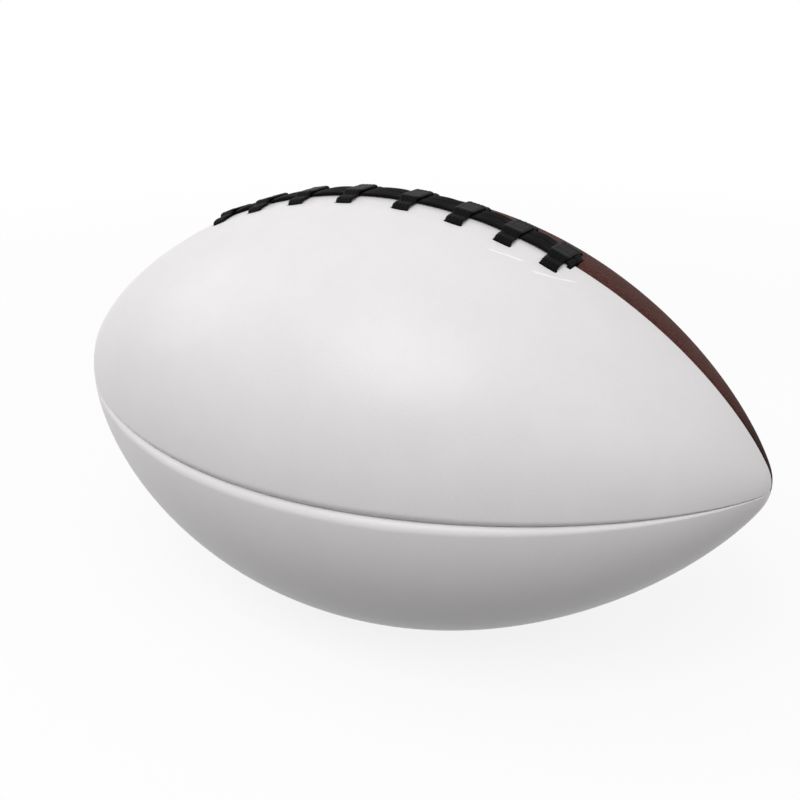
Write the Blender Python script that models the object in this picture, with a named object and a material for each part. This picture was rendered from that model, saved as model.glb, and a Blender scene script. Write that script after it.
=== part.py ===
"""An american football: four sewn panels round a valved bladder, closed by one lace along the top seam.

Metres. +X runs along the ball from tip to tip, +Z up through the lacing, and the white side faces -Y.
The origin is on the ground under the middle of the ball, which lies on its bottom seam.
"""

import math

import bmesh
import bpy
from mathutils import Matrix, Vector
from mathutils.kdtree import KDTree

# The ball as a whole
LENGTH = 0.2794
DIAMETER = 0.158
PROFILE_POWER = 0.763
TIP_RADIUS = 0.0042
TIP_ROUND = 0.0010
TIP_FADE_RADIUS = 0.020
TIP_THIN_RADIUS = 0.008

# Thickness of each layer, and the clearance between pieces that touch on the real ball
PANEL_THICKNESS = 0.0024
LINING_THICKNESS = 0.0008
FACING_THICKNESS = 0.0010
GUARD_THICKNESS = 0.0012
BLADDER_THICKNESS = 0.0010
GAP = 0.0003

# Seams: a rounded fold down into a groove, then a flange that is sewn to its neighbour inside the ball
SEAM_GAP = 0.0003
FOLD_WIDTH = 0.0036
FOLD_DEPTH = 0.0020
FOLD_BEND = (0.3, 0.57)
FOLD_FADE_RADIUS = 0.045
FLANGE_THICKNESS = 0.0020
FLANGE_DEPTH = 0.0062
SLIT_LIP = 0.0004

# How far round two of the seams lie from equal quarters: the white laced panel is a little wider
TOP_SEAM_SHIFT = math.radians(-1.8)
SIDE_SEAM_SHIFT = math.radians(1.4)

# The rings that close a panel over its tip: (share of TIP_ROUND along, share of the section's size)
TIP_CLOSING = ((0.65, 0.75), (1, 0.15))

# Seam thread
THREAD_DIAMETER = 0.0009
THREAD_HOLE = 0.0015
STITCH_LENGTH = 0.0248
THREAD_LEVEL_SHARE = 0.55

# Lacing, whose middle lies a little way from the ball's in the photograph
SLIT_HALF = 0.078
FACING_HALF = 0.015
LACE_WIDTH = 0.0062
LACE_THICKNESS = 0.0012
LACE_CLEARANCE = 0.0006
LACE_UNDER_GAP = 0.0020
LACE_HOLE_SHARE = 0.45
LACE_TWIST_SHARE = 0.75
LACE_TAIL = 0.0042
LACE_FLAT_SHARE = 0.78
LACE_SHIFT = -0.0016
BAR_PLACES = (0.0652, 0.0489, 0.0311, 0.0111)
BAR_FOOT = 0.0022
STRAND_END = 0.0700

# The lace's bends, counted in its thickness: (inward, up) points where it dives, then the bend under it
STRAND_BEND = ((0.12, -0.1), (0.5, 0.5))
BEND_LENGTH = 1.3
BEND_MIDDLE = 0.35

# Valve, in the lower brown panel
VALVE_NECK_DIAMETER = 0.0090
VALVE_FLANGE_DIAMETER = 0.0150
VALVE_FLANGE_THICKNESS = 0.0015
VALVE_RECESS = 0.0004
PLUG_HEAD_DIAMETER = 0.0064
PLUG_HEAD_THICKNESS = 0.0008
PLUG_STEM_DIAMETER = 0.0046
NEEDLE_HOLE_DIAMETER = 0.0014
CUT_MARGIN = 0.002

# Mesh fineness
STATIONS_ALONG_SLIT = 4
STATIONS_TO_TIP = 7
FACE_STEPS = 4
TURNED_SIDES = 16
STRAND_STEPS = 8
CROWN_STEPS = 4
GAP_STEP = 0.0005
GAP_SAMPLES = 3
SHARP_ANGLE = 38
EDGE_COLUMN_SHARE = 0.6

# Where each inner layer ends, as the ball's radius there
THREAD_END_RADIUS = 0.025
LINING_END_RADIUS = 0.015
BLADDER_END_RADIUS = 0.012
BLADDER_END_BULGE = 0.002

# Worked out from the sizes above
BALL_RADIUS = DIAMETER / 2
BODY_HALF = LENGTH / 2 - TIP_ROUND
PROFILE_HALF = BODY_HALF / math.sqrt(1 - (TIP_RADIUS / BALL_RADIUS) ** (1 / PROFILE_POWER))
QUARTER = math.pi / 2
EDGE_OFFSET = SEAM_GAP / 2
CENTRE_HEIGHT = math.sqrt(BALL_RADIUS ** 2 - (EDGE_OFFSET + FOLD_WIDTH) ** 2)
LINING_TOP = PANEL_THICKNESS + GAP
LINING_BOTTOM = LINING_TOP + LINING_THICKNESS
FACING_TOP = LINING_BOTTOM + GAP
FACING_BOTTOM = FACING_TOP + FACING_THICKNESS
HOLE_DEPTH = FACING_BOTTOM + LACE_UNDER_GAP * LACE_HOLE_SHARE
TWIST_DEPTH = FACING_BOTTOM + LACE_UNDER_GAP * LACE_TWIST_SHARE
LACE_UNDER = FACING_BOTTOM + LACE_UNDER_GAP + LACE_THICKNESS / 2
GUARD_TOP = LACE_UNDER + LACE_THICKNESS / 2 + GAP
GUARD_BOTTOM = GUARD_TOP + GUARD_THICKNESS
BLADDER_TOP = LINING_BOTTOM + GAP
THREAD_SIDE = EDGE_OFFSET + FLANGE_THICKNESS + GAP + THREAD_DIAMETER / 2
GROOVE_HALF = THREAD_SIDE + THREAD_DIAMETER / 2 + GAP
THREAD_LEVEL = LINING_BOTTOM + (PANEL_THICKNESS + FLANGE_DEPTH - LINING_BOTTOM) * THREAD_LEVEL_SHARE
STRAND_LEVEL = GAP + LACE_THICKNESS / 2
STRAND_OFFSET = (LACE_WIDTH + LACE_CLEARANCE) / 2
LEFT_END = LACE_SHIFT - STRAND_END
RIGHT_END = LACE_SHIFT + STRAND_END
BAR_RISE = LACE_THICKNESS + LACE_CLEARANCE
BAR_LEVEL = STRAND_LEVEL + BAR_RISE
RISE_START = STRAND_OFFSET + LACE_WIDTH / 2 + (LACE_THICKNESS / 2 + LACE_CLEARANCE) * math.sqrt(2)
BAR_REACH = RISE_START + BAR_FOOT + LACE_THICKNESS * BEND_LENGTH
VALVE_TURN = 2.5 * QUARTER
VALVE_TOP = BALL_RADIUS - VALVE_RECESS

WHITE_COVER = ("white_cover", (0.80, 0.775, 0.785), 0.34, 0.0)
BROWN_COVER = ("brown_cover", (0.095, 0.041, 0.038), 0.55, 0.0)
LACE_VINYL = ("lace_vinyl", (0.010, 0.010, 0.011), 0.35, 0.0)
LINING_CLOTH = ("lining_cloth", (0.62, 0.59, 0.52), 0.90, 0.0)
FACING_CLOTH = ("facing_cloth", (0.30, 0.29, 0.27), 0.85, 0.0)
GUARD_RUBBER = ("guard_rubber", (0.045, 0.040, 0.038), 0.70, 0.0)
BLADDER_RUBBER = ("bladder_rubber", (0.020, 0.020, 0.022), 0.45, 0.0)
VALVE_RUBBER = ("valve_rubber", (0.030, 0.028, 0.028), 0.50, 0.0)
PLUG_RUBBER = ("plug_rubber", (0.070, 0.035, 0.030), 0.50, 0.0)
SEWING_THREAD = ("sewing_thread", (0.72, 0.70, 0.66), 0.80, 0.0)


def clear_scene():
    for item in list(bpy.data.objects):
        bpy.data.objects.remove(item, do_unlink=True)


def material_of(kind):
    """The material with this name, made the first time that it is asked for."""
    name, colour, roughness, metallic = kind
    material = bpy.data.materials.get(name)
    if material is None:
        material = bpy.data.materials.new(name)
        material.use_nodes = True
        shader = material.node_tree.nodes["Principled BSDF"]
        shader.inputs["Base Color"].default_value = (*colour, 1)
        shader.inputs["Roughness"].default_value = roughness
        shader.inputs["Metallic"].default_value = metallic
    return material


# The ball's surface

def radius_at(x):
    """Radius of the ball at a distance x from its middle."""
    return BALL_RADIUS * (1 - (x / PROFILE_HALF) ** 2) ** PROFILE_POWER


def reach_of(radius):
    """How far from its middle the ball has this radius."""
    return PROFILE_HALF * math.sqrt(1 - (radius / BALL_RADIUS) ** (1 / PROFILE_POWER))


def normal_at(x):
    """The surface's outward normal at x, as its parts along the ball and along the radius."""
    share = x / PROFILE_HALF
    slope = -2 * PROFILE_POWER * BALL_RADIUS * share / PROFILE_HALF * (1 - share ** 2) ** (PROFILE_POWER - 1)
    length = math.hypot(1, slope)
    return -slope / length, 1 / length


def tip_fade(x):
    """1 along the ball's body, falling towards 0 at the tips, where every seam detail shrinks."""
    return min(1, radius_at(x) / TIP_FADE_RADIUS)


def layer_radius(x, depth):
    return radius_at(x) - depth * normal_at(x)[1]


def layer_point(x, angle, depth):
    """A point `depth` under the surface at station x, `angle` round from the top towards -Y."""
    radius = layer_radius(x, depth)
    return Vector((x - depth * normal_at(x)[0], -radius * math.sin(angle), radius * math.cos(angle)))


def beside_seam(x, offset, depth):
    """The angle from a seam's plane to a point that lies `offset` beside that plane."""
    return math.asin(offset / layer_radius(x, depth))


def stations():
    """Places along the ball where every layer has a ring of points."""
    slit = [SLIT_HALF * step / STATIONS_ALONG_SLIT for step in range(STATIONS_ALONG_SLIT + 1)]
    start = math.asin(SLIT_HALF / PROFILE_HALF)
    end = math.asin(BODY_HALF / PROFILE_HALF)
    turns = [start + (end - start) * step / STATIONS_TO_TIP for step in range(1, STATIONS_TO_TIP + 1)]
    half = slit + [PROFILE_HALF * math.sin(turn) for turn in turns]
    return [-x for x in reversed(half[1:])] + half


def rings_out_to(end_radius, section):
    """A layer's rings, cut off at each end, between two stations, where the ball's radius is `end_radius`."""
    reach = reach_of(end_radius)
    inside = [x for x in stations() if abs(x) < reach - GAP]
    beyond = min(x for x in stations() if x > inside[-1])
    share = (reach - inside[-1]) / (beyond - inside[-1])
    rings = [section(x) for x in inside]
    first = [point.lerp(beyond_it, share) for point, beyond_it in zip(rings[0], section(-beyond))]
    last = [point.lerp(beyond_it, share) for point, beyond_it in zip(rings[-1], section(beyond))]
    return [first, *rings, last]


def seam_shift(angle):
    """How far a point moves round the ball, so that two seams lie where the photograph shows them."""
    turns = angle / QUARTER
    quarter = math.floor(turns)
    share = turns - quarter
    ease = share * share * (3 - 2 * share)
    shifts = (TOP_SEAM_SHIFT, SIDE_SEAM_SHIFT, 0, 0)
    here = shifts[quarter % 4]
    return here + (shifts[(quarter + 1) % 4] - here) * ease


def on_slit(x):
    return abs(x) < SLIT_HALF + GAP


def columns(x):
    """Angles from a seam where every layer has a point: a lace facing's edge, one between, mid-panel."""
    middle = QUARTER / 2
    edge = min(FACING_HALF / radius_at(x), middle * EDGE_COLUMN_SHARE)
    return edge, (edge + middle) / 2, middle


def panel_thickness(x):
    return PANEL_THICKNESS * min(1, radius_at(x) / TIP_THIN_RADIUS)


def flange_end(x, laced):
    """How far under the surface a panel's sewn flange reaches at x."""
    if laced and on_slit(x):
        return panel_thickness(x) + SLIT_LIP
    return panel_thickness(x) + FLANGE_DEPTH * tip_fade(x)


# Mesh building

def mesh_object(name, kind, bm, holder, turn=0.0, inner_faces=()):
    """Makes a named object of a closed bmesh, turned about the ball's long axis."""
    bmesh.ops.recalc_face_normals(bm, faces=bm.faces)
    bmesh.ops.reverse_faces(bm, faces=list(inner_faces))
    for vertex in bm.verts:
        reach = math.hypot(vertex.co.y, vertex.co.z)
        angle = math.atan2(-vertex.co.y, vertex.co.z)
        angle += seam_shift(angle + turn)
        vertex.co.y = -reach * math.sin(angle)
        vertex.co.z = reach * math.cos(angle)
    mesh = bpy.data.meshes.new(name)
    bm.to_mesh(mesh)
    bm.free()
    mesh.shade_smooth()
    mesh.set_sharp_from_angle(angle=math.radians(SHARP_ANGLE))
    if kind:
        mesh.materials.append(material_of(kind))
    made = bpy.data.objects.new(name, mesh)
    bpy.context.scene.collection.objects.link(made)
    made.parent = holder
    made.rotation_euler.x = turn
    return made


def add_rings(bm, rings, closed_path=False):
    """Skins closed rings of points that all have the same count, and returns their vertices."""
    made = [[bm.verts.new(point) for point in ring] for ring in rings]
    count = len(made[0])
    pairs = list(zip(made, made[1:]))
    if closed_path:
        pairs.append((made[-1], made[0]))
    for here, there in pairs:
        for index in range(count):
            after = (index + 1) % count
            bm.faces.new((here[index], here[after], there[after], there[index]))
    return made


def loft(name, kind, rings, holder, turn=0.0, closed_path=False):
    """A solid skinned over rings of points, with flat caps unless the rings come round to the start."""
    bm = bmesh.new()
    made = add_rings(bm, rings, closed_path)
    if not closed_path:
        bm.faces.new(made[0])
        bm.faces.new(made[-1])
    return mesh_object(name, kind, bm, holder, turn)


def cut(target, cutter):
    hole = target.modifiers.new(cutter.name, "BOOLEAN")
    hole.operation = "DIFFERENCE"
    hole.solver = "EXACT"
    hole.object = cutter


def cutter_object(name, bm, holder, turn):
    """A hidden object that only cuts others."""
    made = mesh_object(name, None, bm, holder, turn)
    made.hide_render = True
    made.display_type = "WIRE"
    return made


def cutter_of(name, blocks, holder, turn=0.0):
    """One cutter made of separate blocks, each a (centre, axes, sizes) box."""
    bm = bmesh.new()
    for centre, axes, sizes in blocks:
        frame = Matrix((axes[0] * sizes[0], axes[1] * sizes[1], axes[2] * sizes[2])).transposed().to_4x4()
        frame.translation = centre
        bmesh.ops.create_cube(bm, size=1, matrix=frame)
    return cutter_object(name, bm, holder, turn)


# Cover

def panel_section(x, laced_start, laced_end):
    """One closed ring of a panel: over its outer face from flange to flange, then back along the inside."""
    edge, between, middle = columns(x)
    thickness = panel_thickness(x)
    fold_fade = min(1, radius_at(x) / FOLD_FADE_RADIUS)
    fold_width = FOLD_WIDTH * fold_fade
    fold_depth = FOLD_DEPTH * fold_fade
    flange = FLANGE_THICKNESS * tip_fade(x)
    outer_half = []
    inner_half = []
    for laced in (laced_start, laced_end):
        tip = flange_end(x, laced)
        fold = [
            (EDGE_OFFSET, tip),
            (EDGE_OFFSET, fold_depth),
            (EDGE_OFFSET + fold_width * FOLD_BEND[0], fold_depth * FOLD_BEND[1]),
            (EDGE_OFFSET + fold_width, 0),
        ]
        root = [(EDGE_OFFSET + flange, tip), (EDGE_OFFSET + flange, thickness)]
        outer = [(beside_seam(x, offset, depth), depth) for offset, depth in fold]
        face = [(edge + (middle - edge) * step / FACE_STEPS, 0) for step in range(FACE_STEPS)]
        outer_half.append(outer + face)
        inner = [(beside_seam(x, offset, depth), depth) for offset, depth in root]
        inner_half.append(inner + [(edge, thickness), (between, thickness)])
    mirrored = [(QUARTER - angle, depth) for angle, depth in reversed(outer_half[1])]
    path = outer_half[0] + [(middle, 0)] + mirrored
    path += [(QUARTER - angle, depth) for angle, depth in inner_half[1]]
    path += [(middle, thickness)] + inner_half[0][::-1]
    return [layer_point(x, angle, depth) for angle, depth in path]


def make_panel(name, kind, holder, quarter, laced_start=False, laced_end=False):
    """A panel out to its tips, where its last rings round it in towards the middle."""
    rings = [panel_section(x, laced_start, laced_end) for x in stations()]
    left, right = [], []
    for closed, ring, way in ((left, rings[0], -1), (right, rings[-1], 1)):
        for along, share in TIP_CLOSING:
            x = way * (BODY_HALF + TIP_ROUND * along)
            closed.append([Vector((x, point.y * share, point.z * share)) for point in ring])
    return loft(name, kind, left[::-1] + rings + right, holder, quarter * QUARTER)


def lining_section(x):
    """One closed ring of a lining, a plain sheet between its panel's two flanges."""
    edge, between, middle = columns(x)
    offset = EDGE_OFFSET + FLANGE_THICKNESS * tip_fade(x) + GAP
    path = []
    for depth in (LINING_TOP, LINING_BOTTOM):
        start = beside_seam(x, offset, depth)
        half = [start, edge, between]
        angles = half + [middle] + [QUARTER - angle for angle in reversed(half)]
        path += [(angle, depth) for angle in (angles if depth == LINING_TOP else angles[::-1])]
    return [layer_point(x, angle, depth) for angle, depth in path]


def make_lining(name, holder, quarter):
    rings = rings_out_to(LINING_END_RADIUS, lining_section)
    return loft(name, LINING_CLOTH, rings, holder, quarter * QUARTER)


# Seam threads

def stitch_places(start, end):
    """Even places where a running stitch goes through both flanges."""
    count = max(1, round((end - start) / STITCH_LENGTH))
    return [start + (end - start) * index / count for index in range(count + 1)]


def seam_point(x, side, depth):
    """A point beside the top seam's plane, `side` towards +Y."""
    radius = layer_radius(x, depth)
    return Vector((x - depth * normal_at(x)[0], side, math.sqrt(radius ** 2 - side ** 2)))


def make_thread(name, holder, quarter, start, end):
    """A running stitch: along one flange, through both, and on along the other."""
    points = []
    side = THREAD_SIDE
    for x in stitch_places(start, end):
        points += [seam_point(x, side, THREAD_LEVEL), seam_point(x, -side, THREAD_LEVEL)]
        side = -side
    lead = Vector((THREAD_HOLE, 0, 0))
    points = [points[0] - lead] + points + [points[-1] + lead]
    radius = THREAD_DIAMETER / 2
    section = [(radius * math.cos(turn * QUARTER), radius * math.sin(turn * QUARTER)) for turn in range(4)]
    up = Vector((0, 0, 1))
    return sweep(name, SEWING_THREAD, points, [up] * len(points), section, holder, quarter * QUARTER)


def make_stitch_cutter(name, holder, quarter, spans):
    """Square holes for one seam's thread, right through both flanges."""
    reach = 2 * (THREAD_SIDE + THREAD_DIAMETER / 2)
    blocks = []
    for start, end in spans:
        for x in stitch_places(start, end):
            axes = (Vector((1, 0, 0)), Vector((0, 1, 0)), Vector((0, 0, 1)))
            centre = seam_point(x, 0, THREAD_LEVEL)
            blocks.append((centre, axes, (THREAD_HOLE, reach, THREAD_HOLE)))
    return cutter_of(name, blocks, holder, quarter * QUARTER)


# Lacing

def lace_frame(x, across):
    """Along, across and out directions on the surface, `across` from the top seam towards +Y."""
    normal_x, normal_r = normal_at(x)
    angle = math.asin(across / radius_at(x))
    along = Vector((normal_r, -normal_x * math.sin(angle), -normal_x * math.cos(angle)))
    sideways = Vector((0, math.cos(angle), -math.sin(angle)))
    out = Vector((normal_x, normal_r * math.sin(angle), normal_r * math.cos(angle)))
    return along, sideways, out


def lace_point(x, across, height):
    """A point `height` above the surface, `across` from the top seam's plane towards +Y."""
    radius = layer_radius(x, -height)
    return Vector((x + height * normal_at(x)[0], across, math.sqrt(radius ** 2 - across ** 2)))


def sweep(name, kind, points, widths, section, holder, turn=0.0):
    """A tube through the points, whose section lies along each point's width direction."""
    rings = []
    for index, point in enumerate(points):
        before = points[max(index - 1, 0)]
        after = points[min(index + 1, len(points) - 1)]
        if index in (0, len(points) - 1):
            forward = (after - before).normalized()
        else:
            forward = ((after - point).normalized() + (point - before).normalized()).normalized()
        width = (widths[index] - forward * widths[index].dot(forward)).normalized()
        thick = forward.cross(width)
        rings.append([point + width * wide + thick * high for wide, high in section])
    return loft(name, kind, rings, holder, turn)


def lace_dive():
    """(inward, height) points of the lace where it comes up out of a hole and bends over."""
    bends = [(LACE_THICKNESS * inward, LACE_THICKNESS * height) for inward, height in STRAND_BEND]
    return [(0, -HOLE_DEPTH), (0, -PANEL_THICKNESS), *bends]


def strand_run(across):
    """One of the two straight strands along the seam, as (x, across, height, heading) stops."""
    dive = lace_dive()
    half = STRAND_END - LACE_THICKNESS * BEND_LENGTH
    flat = [LACE_SHIFT + half * (2 * step / STRAND_STEPS - 1) for step in range(STRAND_STEPS + 1)]
    stops = [(LEFT_END + inward, across, height, 90) for inward, height in dive]
    stops += [(x, across, STRAND_LEVEL, 90) for x in flat]
    return stops + [(RIGHT_END - inward, across, height, 90) for inward, height in reversed(dive)]


def bar_run(x):
    """One cross bar: out of the near hole, flat to the strands, up and over both, and down the far hole."""
    half = [(BAR_REACH - inward, height) for inward, height in lace_dive()]
    half += [(RISE_START + BAR_FOOT, STRAND_LEVEL), (RISE_START, STRAND_LEVEL)]
    crown = RISE_START - BAR_RISE
    over = [crown * (2 * step / CROWN_STEPS - 1) for step in range(CROWN_STEPS + 1)]
    stops = [(x, -across, height, 180) for across, height in half]
    stops += [(x, across, BAR_LEVEL, 180) for across in over]
    return stops + [(x, across, height, 180) for across, height in reversed(half)]


def under_run(start, end):
    """The lace's way from one hole to the next: it twists into line, then bends between facing and guard."""
    step_x = end[0] - start[0]
    step_y = end[1] - start[1]
    length = math.hypot(step_x, step_y)
    heading = 180 - math.degrees(math.atan2(-step_x, abs(step_y)))
    bend = LACE_THICKNESS * BEND_MIDDLE / length
    level = LACE_THICKNESS * BEND_LENGTH / length
    halfway = (LACE_UNDER + TWIST_DEPTH) / 2
    half = [(0, TWIST_DEPTH), (bend, halfway), (level, LACE_UNDER)]
    stops = half + [(0.5, LACE_UNDER)] + [(1 - share, depth) for share, depth in reversed(half)]
    return [(start[0] + step_x * share, start[1] + step_y * share, -depth, heading) for share, depth in stops]


def bar_stations():
    """Where the cross bars lie, from the +X end to the -X end."""
    places = list(BAR_PLACES) + [-place for place in reversed(BAR_PLACES)]
    return [LACE_SHIFT + place for place in places]


def lace_route():
    """The whole lace: one strand, the bars back to the other end, then the second strand."""
    bars = bar_stations()
    tail = [
        (LACE_TAIL, LACE_UNDER),
        (LACE_THICKNESS * BEND_LENGTH, LACE_UNDER),
        (LACE_THICKNESS * BEND_MIDDLE, (LACE_UNDER + HOLE_DEPTH) / 2),
    ]
    route = [(LEFT_END + inward, -STRAND_OFFSET, -depth, 90) for inward, depth in tail]
    route += strand_run(-STRAND_OFFSET)
    route += under_run((RIGHT_END, -STRAND_OFFSET), (bars[0], -BAR_REACH))
    for index, x in enumerate(bars):
        route += bar_run(x)
        if index + 1 < len(bars):
            route += under_run((x, BAR_REACH), (bars[index + 1], -BAR_REACH))
    route += under_run((bars[-1], BAR_REACH), (LEFT_END, STRAND_OFFSET))
    route += strand_run(STRAND_OFFSET)
    return route + [(RIGHT_END - inward, STRAND_OFFSET, -depth, 90) for inward, depth in reversed(tail)]


def lace_section():
    """A flat band with thinned edges, as (width, thickness) points."""
    half = LACE_WIDTH / 2
    flat = half * LACE_FLAT_SHARE
    thick = LACE_THICKNESS / 2
    return [(half, 0), (flat, thick), (-flat, thick), (-half, 0), (-flat, -thick), (flat, -thick)]


def lace_stops():
    """The lace's route as points, each with the direction of the lace's width there."""
    stops = []
    for x, across, height, heading in lace_route():
        along, sideways, _ = lace_frame(x, across)
        turn = math.radians(heading)
        stops.append((lace_point(x, across, height), along * math.cos(turn) + sideways * math.sin(turn)))
    return stops


def make_lace(holder):
    points, widths = zip(*lace_stops())
    return sweep("lace", LACE_VINYL, points, widths, lace_section(), holder)


def make_lace_cutter(holder):
    """A slot for each end of each bar, and one across the slit where the strands go in."""
    long_side = LACE_WIDTH + 2 * GAP
    short_side = LACE_THICKNESS + 2 * GAP
    through = HOLE_DEPTH + FOLD_DEPTH
    blocks = []
    for x in bar_stations():
        for across in (-BAR_REACH, BAR_REACH):
            centre = lace_point(x, across, GAP - through / 2)
            blocks.append((centre, lace_frame(x, 0), (long_side, short_side, through)))
    both = 2 * (STRAND_OFFSET + LACE_WIDTH / 2 + GAP)
    for x in (LEFT_END, RIGHT_END):
        centre = lace_point(x, 0, GAP - through / 2)
        blocks.append((centre, lace_frame(x, 0), (short_side, both, through)))
    return cutter_of("lace_holes", blocks, holder)


def strip_section(x, offsets, top, bottom):
    """One closed ring of a thin strip beside the top seam, its offsets running towards +Y."""
    ring = []
    for depth, places in ((top, offsets), (bottom, offsets[::-1])):
        for offset in places:
            angle = min(abs(offset) / radius_at(x), columns(x)[0])
            if abs(offset) < FACING_HALF:
                angle = beside_seam(x, abs(offset), depth)
            ring.append(layer_point(x, math.copysign(angle, -offset), depth))
    return ring


def make_facing(name, holder, side):
    """The doubling strip inside one laced panel, which the lace's holes go through."""
    inner = EDGE_OFFSET + FLANGE_THICKNESS + GAP
    offsets = [side * inner, side * FACING_HALF]
    rings = [strip_section(x, offsets, FACING_TOP, FACING_BOTTOM) for x in stations() if on_slit(x)]
    return loft(name, FACING_CLOTH, rings, holder)


def make_guard(holder):
    """The tongue between the lacing and the bladder."""
    offsets = [-FACING_HALF, -GROOVE_HALF, 0, GROOVE_HALF, FACING_HALF]
    rings = [strip_section(x, offsets, GUARD_TOP, GUARD_BOTTOM) for x in stations() if on_slit(x)]
    return loft("bladder_guard", GUARD_RUBBER, rings, holder)


# Bladder and valve

def bladder_depths(x, laced):
    """How deep the flanges or the lacing press the bladder in, at a seam and at a facing's edge beside it."""
    seam = flange_end(x, False) + GAP
    if laced and on_slit(x):
        return max(seam, GUARD_BOTTOM + GAP), GUARD_BOTTOM + GAP
    return seam, BLADDER_TOP


def bladder_ring(x, extra):
    """One ring of the bladder, `extra` inside its outer face."""
    edge, between, middle = columns(x)
    ring = []
    for quarter in range(4):
        start_seam, start_edge = bladder_depths(x, quarter == 0)
        end_seam, end_edge = bladder_depths(x, quarter == 3)
        groove = beside_seam(x, GROOVE_HALF * tip_fade(x), start_seam)
        path = [
            (0, start_seam),
            (groove, start_seam),
            (edge, start_edge),
            (between, BLADDER_TOP),
            (middle, BLADDER_TOP),
            (QUARTER - between, BLADDER_TOP),
            (QUARTER - edge, end_edge),
            (QUARTER - groove, end_seam),
        ]
        ring += [layer_point(x, quarter * QUARTER + angle, depth + extra) for angle, depth in path]
    return ring


def make_bladder(holder):
    """A closed rubber skin with an inner and an outer face, which the valve's hole joins."""
    bm = bmesh.new()
    for extra in (0, BLADDER_THICKNESS):
        outer_faces = set(bm.faces)
        made = add_rings(bm, rings_out_to(BLADDER_END_RADIUS, lambda x: bladder_ring(x, extra)))
        for ring, way in ((made[0], -1), (made[-1], 1)):
            reach = max(vertex.co.x * way for vertex in ring)
            pole = bm.verts.new((way * (reach + BLADDER_END_BULGE), 0, 0))
            for index, vertex in enumerate(ring):
                bm.faces.new((vertex, ring[(index + 1) % len(ring)], pole))
    inner_faces = [face for face in bm.faces if face not in outer_faces]
    return mesh_object("bladder", BLADDER_RUBBER, bm, holder, inner_faces=inner_faces)


def turned(name, kind, profile, holder):
    """A turned piece from a closed outline of (radius, height) points, its axis out through the valve."""
    rings = []
    for step in range(TURNED_SIDES):
        turn = 2 * math.pi * step / TURNED_SIDES
        rings.append([Vector((r * math.cos(turn), r * math.sin(turn), height)) for r, height in profile])
    bm = bmesh.new()
    add_rings(bm, rings, closed_path=True)
    return mesh_object(name, kind, bm, holder, VALVE_TURN)


def valve_flange_top():
    """The height of the valve's flange, under the bladder's inner face, which falls away round the valve."""
    _, between, middle = columns(0)
    fall = VALVE_FLANGE_DIAMETER / 2 * math.tan((middle - between) / 2)
    return BALL_RADIUS - BLADDER_TOP - BLADDER_THICKNESS - fall - 2 * GAP


def make_valve_housing(holder):
    """The moulded neck through the cover, with a flange bonded to the bladder's inside."""
    neck = VALVE_NECK_DIAMETER / 2
    seat = PLUG_HEAD_DIAMETER / 2 + GAP
    bore = PLUG_STEM_DIAMETER / 2 + GAP
    shelf = VALVE_TOP - PLUG_HEAD_THICKNESS - GAP
    rim = VALVE_FLANGE_DIAMETER / 2
    flange = valve_flange_top()
    bottom = flange - VALVE_FLANGE_THICKNESS
    profile = [
        (bore, bottom),
        (rim, bottom),
        (rim, flange),
        (neck, flange),
        (neck, VALVE_TOP),
        (seat, VALVE_TOP),
        (seat, shelf),
        (bore, shelf),
    ]
    return turned("valve_housing", VALVE_RUBBER, profile, holder)


def make_valve_plug(holder):
    """The soft plug that seals round an inflating needle."""
    hole = NEEDLE_HOLE_DIAMETER / 2
    stem = PLUG_STEM_DIAMETER / 2
    head = PLUG_HEAD_DIAMETER / 2
    bottom = valve_flange_top() - VALVE_FLANGE_THICKNESS
    under_head = VALVE_TOP - PLUG_HEAD_THICKNESS
    profile = [
        (hole, bottom),
        (stem, bottom),
        (stem, under_head),
        (head, under_head),
        (head, VALVE_TOP),
        (hole, VALVE_TOP),
    ]
    return turned("valve_plug", PLUG_RUBBER, profile, holder)


def make_valve_cutter(holder):
    """The round hole for the valve's neck through panel, lining and bladder."""
    radius = VALVE_NECK_DIAMETER / 2 + GAP
    bottom = BALL_RADIUS - BLADDER_TOP - BLADDER_THICKNESS - CUT_MARGIN
    top = BALL_RADIUS + CUT_MARGIN
    bm = bmesh.new()
    place = Matrix.Translation((0, 0, (top + bottom) / 2))
    bmesh.ops.create_cone(
        bm,
        cap_ends=True,
        segments=TURNED_SIDES,
        radius1=radius,
        radius2=radius,
        depth=top - bottom,
        matrix=place,
    )
    return cutter_object("valve_hole", bm, holder, VALVE_TURN)


def least_gap():
    """The smallest gap between faces of the lace that are well apart along its route, measured on points."""
    samples = []
    corners = lace_section()
    travelled = 0.0
    stops = lace_stops()
    for (start, width), (end, _) in zip(stops, stops[1:]):
        forward = end - start
        side = (width - forward * width.dot(forward) / forward.length_squared).normalized()
        thick = forward.normalized().cross(side)
        steps = max(1, round(forward.length / GAP_STEP))
        for step in range(steps):
            middle = start + forward * step / steps
            for (wide, high), (next_wide, next_high) in zip(corners, corners[1:] + corners[:1]):
                for sample in range(GAP_SAMPLES):
                    share = sample / GAP_SAMPLES
                    across = wide + (next_wide - wide) * share
                    point = middle + side * across + thick * (high + (next_high - high) * share)
                    samples.append((point, travelled + forward.length * step / steps))
        travelled += forward.length
    tree = KDTree(len(samples))
    for index, (point, _) in enumerate(samples):
        tree.insert(point, index)
    tree.balance()
    least = math.inf
    for point, along in samples:
        for _, index, distance in tree.find_range(point, LACE_WIDTH / 2):
            if abs(samples[index][1] - along) > 2 * LACE_WIDTH:
                least = min(least, distance)
    return least


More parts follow.
